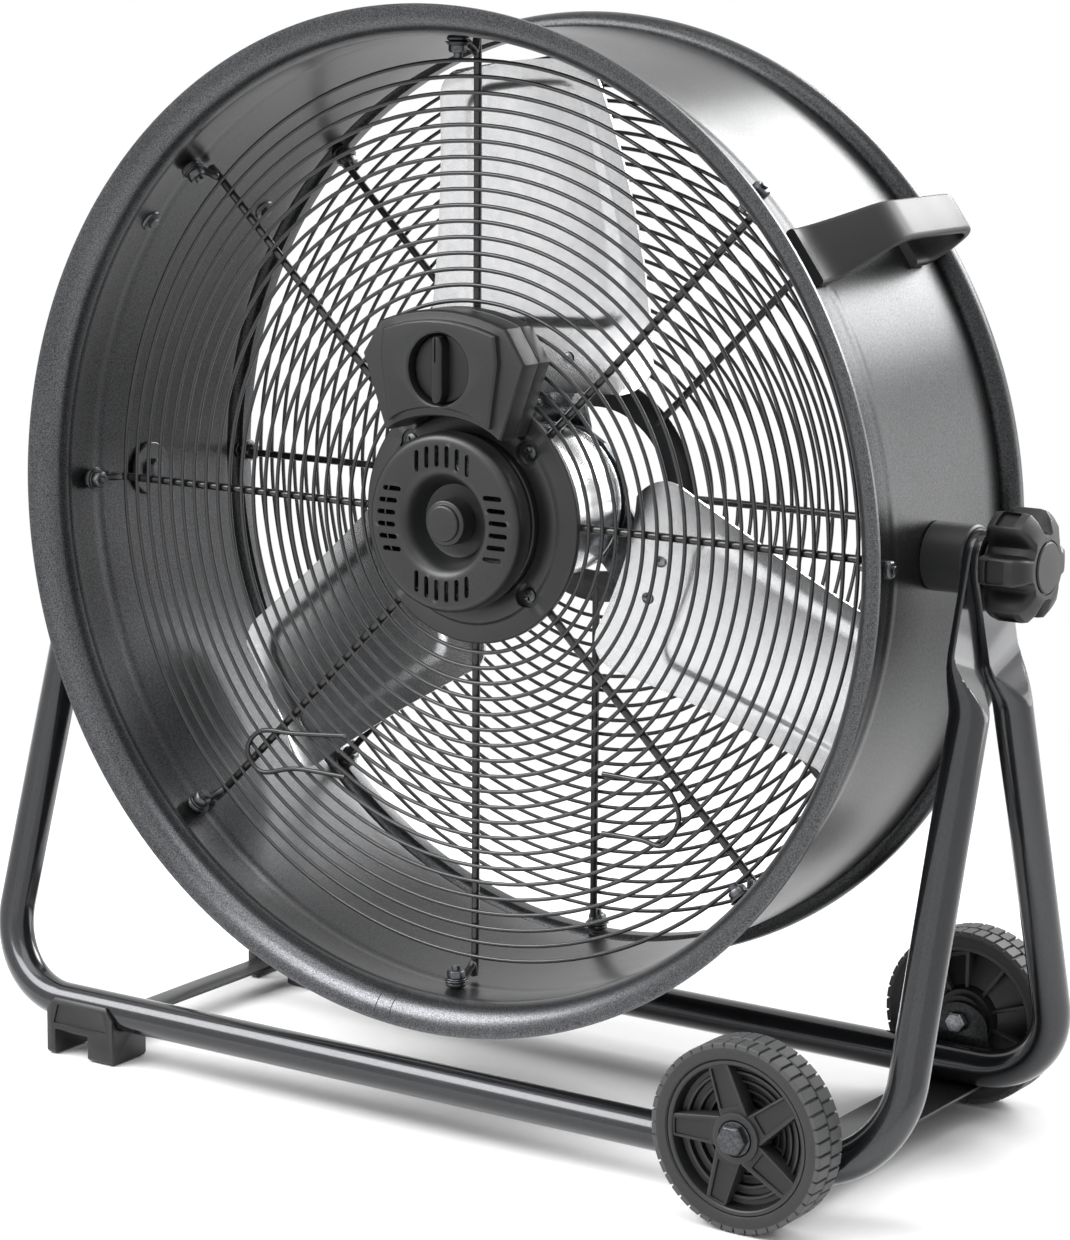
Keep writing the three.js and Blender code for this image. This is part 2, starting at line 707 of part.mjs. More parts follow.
function clampKnob(side) {
  const points = [];
  const count = 30;
  for (let i = 0; i < count; i += 1) {
    const angle = 2 * Math.PI * i / count;
    const wave = 0.5 + 0.5 * Math.cos(knob.lobes * angle);
    const r = knob.valley + (knob.radius - knob.valley - 2) * wave ** 0.6;
    points.push([r * Math.cos(angle), r * Math.sin(angle)]);
  }
  const bevel = 3;
  const body = new THREE.ExtrudeGeometry(shapeOf(points), {
    depth: knob.end - knob.bodyStart - 2 * bevel, bevelThickness: bevel, bevelSize: 2,
    bevelSegments: 1,
  });
  body.rotateY(RIGHT_ANGLE).translate(knob.bodyStart + bevel, 0, 0);
  const neck = bar([knob.start, 0, 0], [knob.bodyStart + 2, 0, 0], knob.neck, 16);
  const bore = bar([knob.start - 1, 0, 0], [pivot.boltEnd + 3, 0, 0], pivot.hole, 8);
  return mirrored(cut(joined(body, neck), bore), side);
}

// ---------------------------------------------------------------- stand

// One bent tube of the stand. It runs along the floor, turns up at both ends and leans in to the
// tilt pivots, where it is pressed flat and rounded off. The front tube has a side of -1.
function standTube(side, paddleX) {
  const rise = PIVOT_HEIGHT - tube.z;
  const along = new THREE.Vector3(0, -side * tube.y, rise).normalize();
  const across = new THREE.Vector3(0, along.z, -along.y);
  const top = Math.hypot(tube.y, rise);
  const sections = [];
  const place = (x, s, flat, half, ax, as) => {
    const out = new THREE.Vector3(ax, 0, 0).addScaledVector(along, as);
    const centre = new THREE.Vector3(x, side * tube.y, tube.z).addScaledVector(along, s);
    const loop = [];
    for (let k = 0; k < tube.sides; k += 1) {
      const angle = 2 * Math.PI * (k + 0.5) / tube.sides;
      const c = Math.cos(angle);
      const n = Math.sin(angle);
      const a = (1 - flat) * tube.radius * c + flat * Math.sign(c) * tube.flatThick / 2;
      const b = (1 - flat) * tube.radius * n + flat * half * n;
      loop.push(centre.clone().addScaledVector(out, a).addScaledVector(across, b));
    }
    sections.push(loop);
  };
  const upright = (end) => {
    const rows = [];
    for (const degrees of [78, 52, 26, 0]) {
      const e = tube.flatHalf * Math.sin(radians(degrees));
      rows.push([end * paddleX, top + e, 1, tube.flatHalf * Math.cos(radians(degrees))]);
    }
    const { flatFrom, roundFrom, flatHalf, halfWidth } = tube;
    rows.push([end * paddleX, top - flatFrom, 1, flatHalf]);
    rows.push([end * (paddleX + halfWidth) / 2, top - (flatFrom + roundFrom) / 2, 0.55, flatHalf]);
    rows.push([end * halfWidth, top - roundFrom, 0, flatHalf]);
    return rows;
  };
  const bend = (end, start, stop) => {
    const centreX = tube.halfWidth - tube.bend;
    for (let i = 0; i <= tube.bendSteps; i += 1) {
      const angle = radians(start + (stop - start) * i / tube.bendSteps);
      const x = centreX + tube.bend * Math.cos(angle);
      const s = tube.bend + tube.bend * Math.sin(angle);
      place(end * x, s, 0, 0, -end * Math.cos(angle), -Math.sin(angle));
    }
  };
  for (const row of upright(-1)) place(...row, 1, 0);
  bend(-1, 0, -90);
  bend(1, -90, 0);
  for (const row of upright(1).reverse()) place(...row, -1, 0);
  const hole = bar([-tube.halfWidth, 0, PIVOT_HEIGHT], [tube.halfWidth, 0, PIVOT_HEIGHT], pivot.hole, 8);
  return cut(lofted(sections), hole);
}

function crossStrap() {
  const { x, width, z, thick, halfLength } = strap;
  return block(x - width / 2, x + width / 2, -halfLength, halfLength, z, z + thick);
}

// A shape drawn across the stand, y to the right and z up, given length along X.
function rail(points, xStart, xEnd) {
  const geometry = new THREE.ExtrudeGeometry(shapeOf(points), {
    depth: xEnd - xStart, bevelEnabled: false,
  });
  return geometry.rotateX(RIGHT_ANGLE).rotateZ(RIGHT_ANGLE).translate(xStart, 0, 0);
}

function mirroredY(geometry, side) {
  return side < 0 ? geometry.scale(1, -1, 1) : geometry;
}

// A moulded foot under one tube, with a saddle for it and a channel for the strap.
function standFoot(side) {
  const { x, length, front, back, top, channel } = foot;
  const clear = tube.radius + GAP;
  const outline = [
    [back, 0], [front, 0], [front, top - 3], [front - 1, top], [tube.y + clear, top],
    ...arc(tube.y, tube.z, clear, 0, -150, 8), [back + 4, tube.z - clear / 2], [back, 20],
  ];
  const body = rail(outline, x - length / 2, x + length / 2);
  const slotTop = strap.z + strap.thick + GAP;
  const slotX = strap.x;
  const passage = block(slotX - channel / 2, slotX + channel / 2, back - 1, front + 1, -1, slotTop);
  const corner = (end) => {
    const edge = x + end * length / 2;
    return rail([[tube.y + clear - 1, top + 1], [front + 1, top + 1], [front + 1, top - 7]],
      Math.min(edge, edge - end * 7), Math.max(edge, edge - end * 7));
  };
  return mirroredY(cut(body, passage, corner(1), corner(-1)), side);
}

// The sheet that carries both wheels: a floor under the tubes and an upturned ear at each end.
function axleBracket() {
  const { x, width, thick, ear, earTop } = bracket;
  const top = tube.z - tube.radius - GAP;
  const floor = block(x - width / 2, x + width / 2, -ear, ear, top - thick, top);
  const round = earTop - wheel.z;
  const shape = shapeOf([
    [x - width / 2, top - thick], [x + width / 2, top - thick], [x + width / 2, tube.z + 4],
    ...arc(wheel.x, wheel.z, round, 10, 170, 6), [x - width / 2, tube.z + 4],
  ]);
  const ears = [slab(shape, ear - thick, ear), slab(shape, -ear, thick - ear)];
  const bore = bar([wheel.x, -ear - 1, wheel.z], [wheel.x, ear + 1, wheel.z], wheel.bore, 8);
  return cut(joined(floor, ...ears), bore);
}

// Wheel pieces are drawn round their own axle; the rear wheel faces +Y.
function wheelRim(side) {
  const { rimRadius: r, hub: hubRadius, bore, inner, outer } = wheel;
  const face = outer - 2;
  const web = (inner + outer) / 2;
  const dish = turned([
    [bore, wheel.hubInner], [hubRadius, wheel.hubInner], [hubRadius, web - 3],
    [r - 4, web - 3], [r - 4, inner + 2], [r, inner + 2], [r, face], [r - 4, face],
    [r - 6, web + 2], [hubRadius + 3, web + 5], [hubRadius, face + 1.5], [bore, face + 1.5],
  ], 20);
  const spokes = [];
  const { spokeAngle, spokeRoot, spokeTip, spokeSweep } = wheel;
  const spoke = shapeOf([
    [hubRadius - 2, -spokeRoot], [r - 3, spokeSweep - spokeTip], [r - 3, spokeSweep + spokeTip],
    [hubRadius - 2, spokeRoot],
  ]);
  for (let i = 0; i < wheel.spokes; i += 1) {
    const turn = radians(spokeAngle + 360 * i / wheel.spokes);
    spokes.push(slab(spoke, web, face - 1).rotateY(-turn));
  }
  return mirroredY(joined(dish, ...spokes), side);
}

// A solid tyre with a ring of tread blocks.
function wheelTyre(side) {
  const { radius, rimRadius, inner, outer, blocks, treadDepth } = wheel;
  const points = [];
  for (let i = 0; i < blocks; i += 1) {
    for (const [share, r] of [[0, radius], [0.62, radius], [0.81, radius - treadDepth]]) {
      const angle = 2 * Math.PI * (i + share) / blocks;
      points.push([r * Math.cos(angle), r * Math.sin(angle)]);
    }
  }
  const shape = shapeOf(points);
  const seat = arc(0, 0, rimRadius + 0.9, 0, 342, 19);
  shape.holes.push(new THREE.Path(seat.map(([x, z]) => new THREE.Vector2(x, z))));
  return mirroredY(slab(shape, inner, outer), side);
}

function axleBolt(side) {
  const start = bracket.ear - bracket.thick - axle.nutThick - 2;
  const headStart = wheel.outer + GAP;
  const shank = bar([0, start, 0], [0, headStart + 1, 0], axle.radius, 8);
  const head = bar([0, headStart, 0], [0, headStart + axle.headThick, 0], axle.headRadius, 6);
  return mirroredY(joined(shank, head), side);
}

function axleNut(side) {
  const end = bracket.ear - bracket.thick - GAP;
  const nut = bar([0, end - axle.nutThick, 0], [0, end, 0], axle.nutRadius, 6);
  return mirroredY(cut(nut, bar([0, end - 9, 0], [0, end + 1, 0], axle.radius + GAP, 8)), side);
}

// ---------------------------------------------------------------- assembly

add(drumGroup, 'drum_shell', drumShell(), powderCoat);
add(drumGroup, 'front_grille', guardGrille(frontGuard), wirePaint);
add(drumGroup, 'rear_grille', guardGrille(rearGuard), wirePaint);
add(drumGroup, 'cord_hook_left', cordHook(-1, leftHook), wirePaint);
add(drumGroup, 'cord_hook_right', cordHook(1, rightHook), wirePaint);
add(drumGroup, 'handle_right', handleAt(handle.angle), blackPlastic);
add(drumGroup, 'handle_left', handleAt(180 - handle.angle), blackPlastic);

add(drumGroup, 'mounting_plate', mountingPlate(), greyPlastic);
add(drumGroup, 'motor_collar', motorCollar(), blackPlastic);
add(drumGroup, 'motor_front_cover', motorFrontCover(), greyPlastic);
add(drumGroup, 'motor_end_cap', motorEndCap(), steel);
add(drumGroup, 'motor_casing', motorCasing(), aluminium);
add(drumGroup, 'motor_rear_bell', motorRearBell(), aluminium);
add(drumGroup, 'bearing_front', bearingAt(motor.casingFront), steel);
add(drumGroup, 'bearing_rear', bearingAt(bearing.rearStart), steel);
add(drumGroup, 'stator_core', ring(core.statorInner, core.statorOuter, ...core.stator, 18), steel);
add(drumGroup, 'winding_front', winding(core.frontWinding), copper);
add(drumGroup, 'winding_rear', winding(core.rearWinding), copper);

add(drumGroup, 'control_box_front', controlBoxFront(), greyPlastic);
add(drumGroup, 'control_box_back', controlBoxBack(), greyPlastic);
add(drumGroup, 'cord_gland', cordGland(), blackPlastic);
add(drumGroup, 'speed_switch', speedSwitch(), blackPlastic);
add(drumGroup, 'capacitor', capacitor(), blackPlastic);
add(drumGroup, 'speed_knob', speedKnob(), blackPlastic);

add(drumGroup, 'motor_shaft', motorShaft(), steel);
add(drumGroup, 'rotor_core', ring(motor.shaft + GAP, core.rotor, ...core.stator, 16), steel);
add(drumGroup, 'hub_spider', hubSpider(), steel);
for (let i = 0; i < blade.count; i += 1) {
  add(drumGroup, `blade_${i + 1}`, fanBlade(i), aluminium);
}

for (const [name, side] of [['right', 1], ['left', -1]]) {
  add(drumGroup, `pivot_spacer_${name}`, pivotSpacer(side), blackPlastic);
  add(drumGroup, `pivot_plate_${name}`, pivotPlate(side), steel);
  add(drumGroup, `pivot_bolt_${name}`, pivotBolt(side), steel);
  add(drumGroup, `clamp_knob_${name}`, clampKnob(side), blackPlastic);
}

add(model, 'front_tube', standTube(-1, pivot.frontPaddle), tubePaint);
add(model, 'rear_tube', standTube(1, pivot.rearPaddle), tubePaint);
add(model, 'cross_strap', crossStrap(), powderCoat);
add(model, 'axle_bracket', axleBracket(), powderCoat);

for (const [name, side] of [['front', -1], ['rear', 1]]) {
  add(model, `foot_${name}`, standFoot(side), blackPlastic);
  const axis = new THREE.Group();
  axis.position.set(wheel.x, 0, wheel.z);
  model.add(axis);
  add(axis, `wheel_${name}_rim`, wheelRim(side), blackPlastic);
  add(axis, `wheel_${name}_tyre`, wheelTyre(side), rubber);
  add(axis, `axle_bolt_${name}`, axleBolt(side), steel);
  add(axis, `axle_nut_${name}`, axleNut(side), steel);
}

export default model;
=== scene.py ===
import json
import math

import bmesh
import bpy
from mathutils import Matrix, Vector

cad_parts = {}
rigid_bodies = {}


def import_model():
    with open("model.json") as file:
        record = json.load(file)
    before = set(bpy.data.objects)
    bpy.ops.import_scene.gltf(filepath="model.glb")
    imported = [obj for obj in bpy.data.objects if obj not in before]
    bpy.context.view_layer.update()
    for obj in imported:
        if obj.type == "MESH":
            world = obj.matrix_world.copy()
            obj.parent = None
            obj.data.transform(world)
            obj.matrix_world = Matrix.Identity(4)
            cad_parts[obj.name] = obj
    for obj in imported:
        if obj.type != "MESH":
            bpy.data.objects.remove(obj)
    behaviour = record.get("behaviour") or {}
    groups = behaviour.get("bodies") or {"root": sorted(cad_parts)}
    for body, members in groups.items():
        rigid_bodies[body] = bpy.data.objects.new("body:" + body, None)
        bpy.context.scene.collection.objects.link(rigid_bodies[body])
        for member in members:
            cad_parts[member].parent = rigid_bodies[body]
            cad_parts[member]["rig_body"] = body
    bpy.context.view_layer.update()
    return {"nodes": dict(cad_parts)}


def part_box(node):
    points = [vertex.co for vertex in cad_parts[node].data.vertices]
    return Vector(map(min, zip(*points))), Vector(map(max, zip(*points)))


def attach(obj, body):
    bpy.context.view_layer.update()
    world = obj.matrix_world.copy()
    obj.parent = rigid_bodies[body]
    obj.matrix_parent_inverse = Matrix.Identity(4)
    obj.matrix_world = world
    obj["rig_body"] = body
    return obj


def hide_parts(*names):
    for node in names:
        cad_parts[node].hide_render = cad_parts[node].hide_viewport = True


bl_info = {
    "name": "Drum Fan Builder",
    "version": (1, 0, 0),
    "blender": (4, 5, 0),
    "location": "View3D > Sidebar > Drum Fan",
    "description": "Builds the dressed drum fan piece by piece around its solid model",
    "category": "Add Mesh",
}

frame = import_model()

# ------------------------------------------------------------------ sizes read from the solid model

MM = 0.001


def node_box(name):
    """Lowest and highest corner of a node of the solid model, in millimetres."""
    low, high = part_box(name)
    return Vector(low) / MM, Vector(high) / MM


DRUM_LOW, DRUM_HIGH = node_box("drum_shell")
LIP_RADIUS = (DRUM_HIGH.x - DRUM_LOW.x) / 2
PIVOT = Vector((0.0, 0.0, (DRUM_LOW.z + DRUM_HIGH.z) / 2))
DRUM_FRONT = DRUM_LOW.y
DRUM_REAR = DRUM_HIGH.y
WHEEL_LOW, WHEEL_HIGH = node_box("wheel_rear_tyre")
AXLE = Vector(((WHEEL_LOW.x + WHEEL_HIGH.x) / 2, 0, (WHEEL_LOW.z + WHEEL_HIGH.z) / 2))
FLOOR = Vector((0.0, 0.0, 0.0))

# ------------------------------------------------------------------ sizes of the dressed pieces, mm

WALL_OUTER = 321.0
WALL = 2.0
FLARE = 19.0
GROOVE_Y = -84.0
SWAGE_Y = -55.0
BEAD_Y = 101.0
BEAD_HALF = 10.0
BEAD_HEIGHT = 11.0
LIP_STEPS = 14
SEAM_ANGLES = (-6.5, -4.4)
SEAM_RADIUS = 0.3

GUARD_RODS = 8
ROD_RADIUS = 2.7
RING_FIRST = 91.5
RING_PITCH = 10.5
FRONT_ROD_Y = -41.5
FRONT_EYE_Y = -64.0
REAR_ROD_Y = 106.0
REAR_EYE_Y = 111.0
ROD_START = 70.0
ROD_BEND = 308.0
EYE_RING = 5.4
EYE_WIRE = 2.0
EYE_SEAT = 316.2
HOOK_Y = -48.5

SLOTS = 6
SLOT_PITCH = 8.1
SLOT_CIRCLE = 45.0
SLOT_HALF_WIDTH = 1.7
SLOT_REACH = 5.6
SCREW_OFFSET = 47.5
SCREW_FLOOR = -48.6
DIAL_Z = 102.4

BLADE_ANGLES = (91.8, -28.2, -148.2)
BLADE_TIP = 300.0
BLADE_ROOT = 74.0
BLADE_LENGTH = 230.0
BLADE_THICK = 2.0
BLADE_CAMBER = 10.0
TIP_CORNER = 15
ROOT_CORNER = 30
# Each edge of a blade as a curve a + b u + c u u, where u runs from 0 at the tip to 1 at the hub.
FRONT_EDGE_REACH = (76.9, -12.6, 17.7)
REAR_EDGE_REACH = (38.9, 52.2, -6.5)
FRONT_EDGE_Y = (36, -11.5, -14.1)
REAR_EDGE_Y = (49.5, 70.2, -73.4)
PANEL_HALF_WIDTH = 58.0
PANEL_MARGIN = 17
PANEL_FROM = 122
PANEL_TO = 284
PANEL_CORNER = 16
PANEL_SLOPE = 6
RIVET_SPOTS = ((98, 0.4), (98, 0.6))

TUBE_RADIUS = 12.7
TUBE_Y = 117.5
TUBE_Z = 35.0
TUBE_X = 362.0
TUBE_BEND = 62.0
TUBE_SIDES = 48
BEND_STEPS = 24
FRONT_PADDLE_X = 352.7
REAR_PADDLE_X = 357.8
PADDLE_THICK = 4.8
PADDLE_HALF = 20.0
PADDLE_LENGTH = 62
PADDLE_TAPER = 38

FOOT_X = (-306, -246)
STRAP_HALF_LENGTH = 128
BRACKET_HALF_LENGTH = 132.0
EAR_Y = 131.7
EAR_HALF_THICK = 1.1

TREAD_BLOCKS = 44
TREAD_ROWS = ((138.3, 151.4), (152.6, 165.7))
TREAD_HALF_ANGLE = 0.06
SPOKES = 5
SPOKE_FACE = 163.6
SPOKE_TURN = 18.0
WEBS = 10

HANDLE_ANGLE = 35.6


# ------------------------------------------------------------------ mesh helpers, all in millimetres

def drop_modifiers(piece):
    """Turns a piece with modifiers into a plain mesh of the same shape."""
    bpy.context.view_layer.update()
    graph = bpy.context.evaluated_depsgraph_get()
    mesh = bpy.data.meshes.new_from_object(piece.evaluated_get(graph), depsgraph=graph)
    piece.modifiers.clear()
    piece.data = mesh
    return piece


def shade(mesh, sharp_degrees):
    """Smooth shading that keeps edges over an angle sharp."""
    mesh.shade_smooth()
    mesh.set_sharp_from_angle(angle=math.radians(sharp_degrees))


def round_edges(piece, width, segments, sharp_degrees):
    """Rounds the edges over an angle by a width in millimetres."""
    rounding = piece.modifiers.new("rounding", "BEVEL")
    rounding.width = width * MM
    rounding.segments = segments
    rounding.limit_method = "ANGLE"
    rounding.angle_limit = math.radians(sharp_degrees)
    drop_modifiers(piece)


def tidy_normals(mesh, sharp_degrees):
    """Merges doubles, points the faces outwards and keeps edges over an angle sharp."""
    work = bmesh.new()
    work.from_mesh(mesh)
    bmesh.ops.remove_doubles(work, verts=work.verts, dist=2e-6)
    bmesh.ops.dissolve_degenerate(work, edges=work.edges, dist=1e-7)
    bmesh.ops.recalc_face_normals(work, faces=work.faces)
    work.to_mesh(mesh)
    work.free()
    shade(mesh, sharp_degrees)


def new_piece(name, verts, faces, centre=FLOOR, bevel=0.0, segments=2, sharp=32.0):
    """A mesh object from points in millimetres, with its edges rounded by a bevel width."""
    mesh = bpy.data.meshes.new(name)
    mesh.from_pydata([(Vector(v) + centre) * MM for v in verts], [], faces)
    piece = bpy.data.objects.new(name, mesh)
    bpy.context.collection.objects.link(piece)
    tidy_normals(mesh, sharp)
    if bevel:
        round_edges(piece, bevel, segments, sharp)
        shade(piece.data, sharp)
    return piece


def grid(rows, wrap_rows=False, wrap_loops=True, caps=True):
    """Points and faces of a skin through rows of points, with or without end caps."""
    count = len(rows[0])
    verts = [point for row in rows for point in row]
    faces = []
    row_steps = len(rows) if wrap_rows else len(rows) - 1
    for i in range(row_steps):
        j = (i + 1) % len(rows)
        for k in range(count if wrap_loops else count - 1):
            n = (k + 1) % count
            faces.append((i * count + k, i * count + n, j * count + n, j * count + k))
    if caps and not wrap_rows:
        faces.append(tuple(reversed(range(count))))
        faces.append(tuple((len(rows) - 1) * count + k for k in range(count)))
    return verts, faces


def lathe(profile, sides):
    """A ring about the Y axis from a closed profile of (radius, y) points."""
    rows = [[(r * math.sin(a), y, r * math.cos(a)) for r, y in profile]
            for a in round_angles(sides)]
    return grid(rows, wrap_rows=True)


def round_angles(count, offset=0.0):
    """Even angles round a full turn."""
    return [2 * math.pi * (k + offset) / count for k in range(count)]


def ease(share):
    """A share from 0 to 1 that starts and stops softly."""
    share = min(max(share, 0.0), 1.0)
    return share * share * (3 - 2 * share)


def arc(centre_r, centre_y, radius, start, end, steps):
    """Points of (radius, y) along an arc between two angles."""
    points = []
    for i in range(steps + 1):
        angle = math.radians(start + (end - start) * i / steps)
        points.append((centre_r + radius * math.cos(angle), centre_y + radius * math.sin(angle)))
    return points


def prism(outline, y_start, y_end):
    """A front view outline of (x, z) points given thickness along Y."""
    rows = [[(x, y, z) for x, z in outline] for y in (y_start, y_end)]
    return grid(rows)


def stacked(sections, sides, axis_turn):
    """A turned part from (distance, radius) pairs along its own axis, turned to place."""
    rows = [[axis_turn @ Vector((r * math.cos(a), r * math.sin(a), distance))
             for a in round_angles(sides)] for distance, r in sections]
    return grid(rows)


def sweep(path, radius, sides=10):
    """A round wire along a list of points."""
    points = [Vector(p) for p in path]
    rows = []
    normal = Vector((0.0, 1.0, 0.0))
    for i, point in enumerate(points):
        ahead = points[min(i + 1, len(points) - 1)] - points[max(i - 1, 0)]
        ahead.normalize()
        normal = (normal - ahead * normal.dot(ahead)).normalized()
        side = ahead.cross(normal)
        rows.append([point + (normal * math.cos(a) + side * math.sin(a)) * radius
                     for a in round_angles(sides)])
    return grid(rows)


def smooth_path(points, per_span=8):
    """Points on a smooth curve through a few corner points."""
    ends = [points[0], *points, points[-1]]
    path = []
    for i in range(1, len(ends) - 2):
        a, b, c, d = (Vector(p) for p in ends[i - 1:i + 3])
        for k in range(per_span):
            t = k / per_span
            path.append(0.5 * ((2 * b) + (c - a) * t + (2 * a - 5 * b + 4 * c - d) * t * t
                               + (3 * b - a - 3 * c + d) * t ** 3))
    path.append(Vector(points[-1]))
    return path


def turned(name, profile, sides, centre=PIVOT, **options):
    """A piece turned on a lathe about the Y axis through a centre."""
    return new_piece(name, *lathe(profile, sides), centre=centre, **options)


def merged(*shapes):
    """Several skins as one list of points and faces."""
    verts, faces = [], []
    for shape_verts, shape_faces in shapes:
        base = len(verts)
        verts += shape_verts
        faces += [tuple(base + k for k in face) for face in shape_faces]
    return verts, faces


def moved(shape, offset=(0, 0, 0), turn=0.0):
    """A skin turned about the Y axis and moved."""
    spin = Matrix.Rotation(-math.radians(turn), 3, "Y")
    return [spin @ Vector(v) + Vector(offset) for v in shape[0]], shape[1]


def mirrored(shape, axis):
    """A skin mirrored along one axis."""
    factor = Vector((1, 1, 1))
    factor[axis] = -1
    return [Vector(v) * factor for v in shape[0]], shape[1]


def carve(piece, cutter, sharp=32.0):
    """Cuts one piece with another, which is used up."""
    knife = piece.modifiers.new("cut", "BOOLEAN")
    knife.operation = "DIFFERENCE"
    knife.solver = "EXACT"
    knife.use_self = True
    knife.object = cutter
    drop_modifiers(piece)
    bpy.data.objects.remove(cutter)
    shade(piece.data, sharp)
    return piece


# ------------------------------------------------------------------ geometry node trees

def add_node(tree, kind, settings=None, links=None):
    """Adds a node, sets its inputs or properties by name, and links its inputs."""
    node = tree.nodes.new(kind)
    for key, value in (settings or {}).items():
        if isinstance(key, int) or key in node.inputs:
            node.inputs[key].default_value = value
        else:
            setattr(node, key, value)
    for key, source in (links or {}).items():
        tree.links.new(source, node.inputs[key])
    return node


def new_tree(name, inputs):
    """A geometry tree with its named inputs, and the node that gives them."""
    tree = bpy.data.node_groups.new(name, "GeometryNodeTree")
    for label, kind, value in (("Geometry", "Geometry", None), *inputs, ("Material", "Material", None)):
        item = tree.interface.new_socket(label, in_out="INPUT", socket_type="NodeSocket" + kind)
        if value is not None:
            item.default_value = value
    tree.interface.new_socket("Geometry", in_out="OUTPUT", socket_type="NodeSocketGeometry")
    return tree, add_node(tree, "NodeGroupInput")


def close_tree(tree, given, shape):
    """Makes instances real, sets the material and ends the tree."""
    real = add_node(tree, "GeometryNodeRealizeInstances", {}, {"Geometry": shape.outputs[0]})
    finish = add_node(tree, "GeometryNodeSetMaterial", {},
                      {"Geometry": real.outputs[0], "Material": given.outputs["Material"]})
    add_node(tree, "NodeGroupOutput", {}, {0: finish.outputs[0]})
    return tree


def repeat_tree():
    """Copies of a piece, each turned about the Y axis and moved by a fixed step."""
    tree, given = new_tree("fan_repeat", (
        ("Count", "Int", 8), ("Turn", "Float", 0.0), ("Step", "Vector", (0.0, 0.0, 0.0))))
    index = add_node(tree, "GeometryNodeInputIndex")
    turn = add_node(tree, "ShaderNodeMath", {"operation": "MULTIPLY"},
                    {0: index.outputs[0], 1: given.outputs["Turn"]})
    turns = add_node(tree, "ShaderNodeCombineXYZ", {}, {"Y": turn.outputs[0]})
    step = add_node(tree, "ShaderNodeVectorMath", {"operation": "SCALE"},
                    {0: given.outputs["Step"], "Scale": index.outputs[0]})
    line = add_node(tree, "GeometryNodeMeshLine", {"Offset": (0.0, 0.0, 0.0)},
                    {"Count": given.outputs["Count"]})
    placed = add_node(tree, "GeometryNodeSetPosition", {},
                      {"Geometry": line.outputs[0], "Position": step.outputs[0]})
    copies = add_node(tree, "GeometryNodeInstanceOnPoints", {},
                      {"Points": placed.outputs[0], "Instance": given.outputs["Geometry"],
                       "Rotation": turns.outputs[0]})
    return close_tree(tree, given, copies)


def ring_tree():
    """The round wires of a guard: circles whose radius grows by one pitch a ring."""
    tree, given = new_tree("guard_rings", (
        ("Rings", "Int", 21), ("First radius", "Float", 0.09), ("Pitch", "Float", 0.01),
        ("Wire radius", "Float", 0.0014), ("Place", "Vector", (0.0, 0.0, 0.0))))
    index = add_node(tree, "GeometryNodeInputIndex")
    radius = add_node(tree, "ShaderNodeMath", {"operation": "MULTIPLY_ADD"},
                      {0: index.outputs[0], 1: given.outputs["Pitch"],
                       2: given.outputs["First radius"]})
    line = add_node(tree, "GeometryNodeMeshLine", {"Offset": (0.0, 0.0, 0.0)},
                    {"Count": given.outputs["Rings"]})
    circle = add_node(tree, "GeometryNodeCurvePrimitiveCircle", {"Resolution": 160, "Radius": 1.0})
    grown = add_node(tree, "ShaderNodeCombineXYZ", {},
                     {"X": radius.outputs[0], "Y": radius.outputs[0], "Z": radius.outputs[0]})
    copies = add_node(tree, "GeometryNodeInstanceOnPoints", {},
                      {"Points": line.outputs[0], "Instance": circle.outputs[0],
                       "Scale": grown.outputs[0]})
    curves = add_node(tree, "GeometryNodeRealizeInstances", {}, {"Geometry": copies.outputs[0]})
    section = add_node(tree, "GeometryNodeCurvePrimitiveCircle", {"Resolution": 8},
                       {"Radius": given.outputs["Wire radius"]})
    wires = add_node(tree, "GeometryNodeCurveToMesh", {},
                     {"Curve": curves.outputs[0], "Profile Curve": section.outputs[0]})
    stood = add_node(tree, "GeometryNodeTransform", {"Rotation": (math.pi / 2, 0.0, 0.0)},
                     {"Geometry": wires.outputs[0], "Translation": given.outputs["Place"]})
    return close_tree(tree, given, stood)


def run_tree(piece, make_tree, name, values):
    """Runs a tree on a piece with its named inputs set, and keeps the plain mesh."""
    tree = bpy.data.node_groups.get(name) or make_tree()
    modifier = piece.modifiers.new("tree", "NODES")
    modifier.node_group = tree
    for item in tree.interface.items_tree:
        if item.in_out == "INPUT" and item.name in values:
            modifier[item.identifier] = values[item.name]
    drop_modifiers(piece)
    return piece


def repeated(piece, count, material, turn=0.0, step=(0, 0, 0), centre=FLOOR, sharp=32.0):
    """Copies a piece by the repeat tree. It is drawn about the origin and moved last."""
    run_tree(piece, repeat_tree, "fan_repeat", {
        "Count": count, "Turn": math.radians(turn), "Step": Vector(step) * MM,
        "Material": material,
    })
    piece.data.transform(Matrix.Translation(centre * MM))
    shade(piece.data, sharp)
    return piece


# ------------------------------------------------------------------ finishes

def srgb(code):
    """The linear colour of a hex code."""
    parts = [int(code[i:i + 2], 16) / 255 for i in (0, 2, 4)]
    linear = [c / 12.92 if c <= 0.04045 else ((c + 0.055) / 1.055) ** 2.4 for c in parts]
    return (*linear, 1.0)


def object_noise(tree, size, detail=2.0, stretch=(1.0, 1.0, 1.0)):
    """Noise fixed to the object, with grains of about one size in millimetres."""
    place = add_node(tree, "ShaderNodeTexCoord")
    scaled = add_node(tree, "ShaderNodeVectorMath", {"operation": "MULTIPLY", 1: stretch},
                      {0: place.outputs["Object"]})
    return add_node(tree, "ShaderNodeTexNoise", {"Scale": 1000.0 / size, "Detail": detail},
                    {"Vector": scaled.outputs[0]}).outputs[0]


def empty_nodes(owner):
    """The cleared shader tree of a material or a world."""
    owner.use_nodes = True
    owner.node_tree.nodes.clear()
    return owner.node_tree


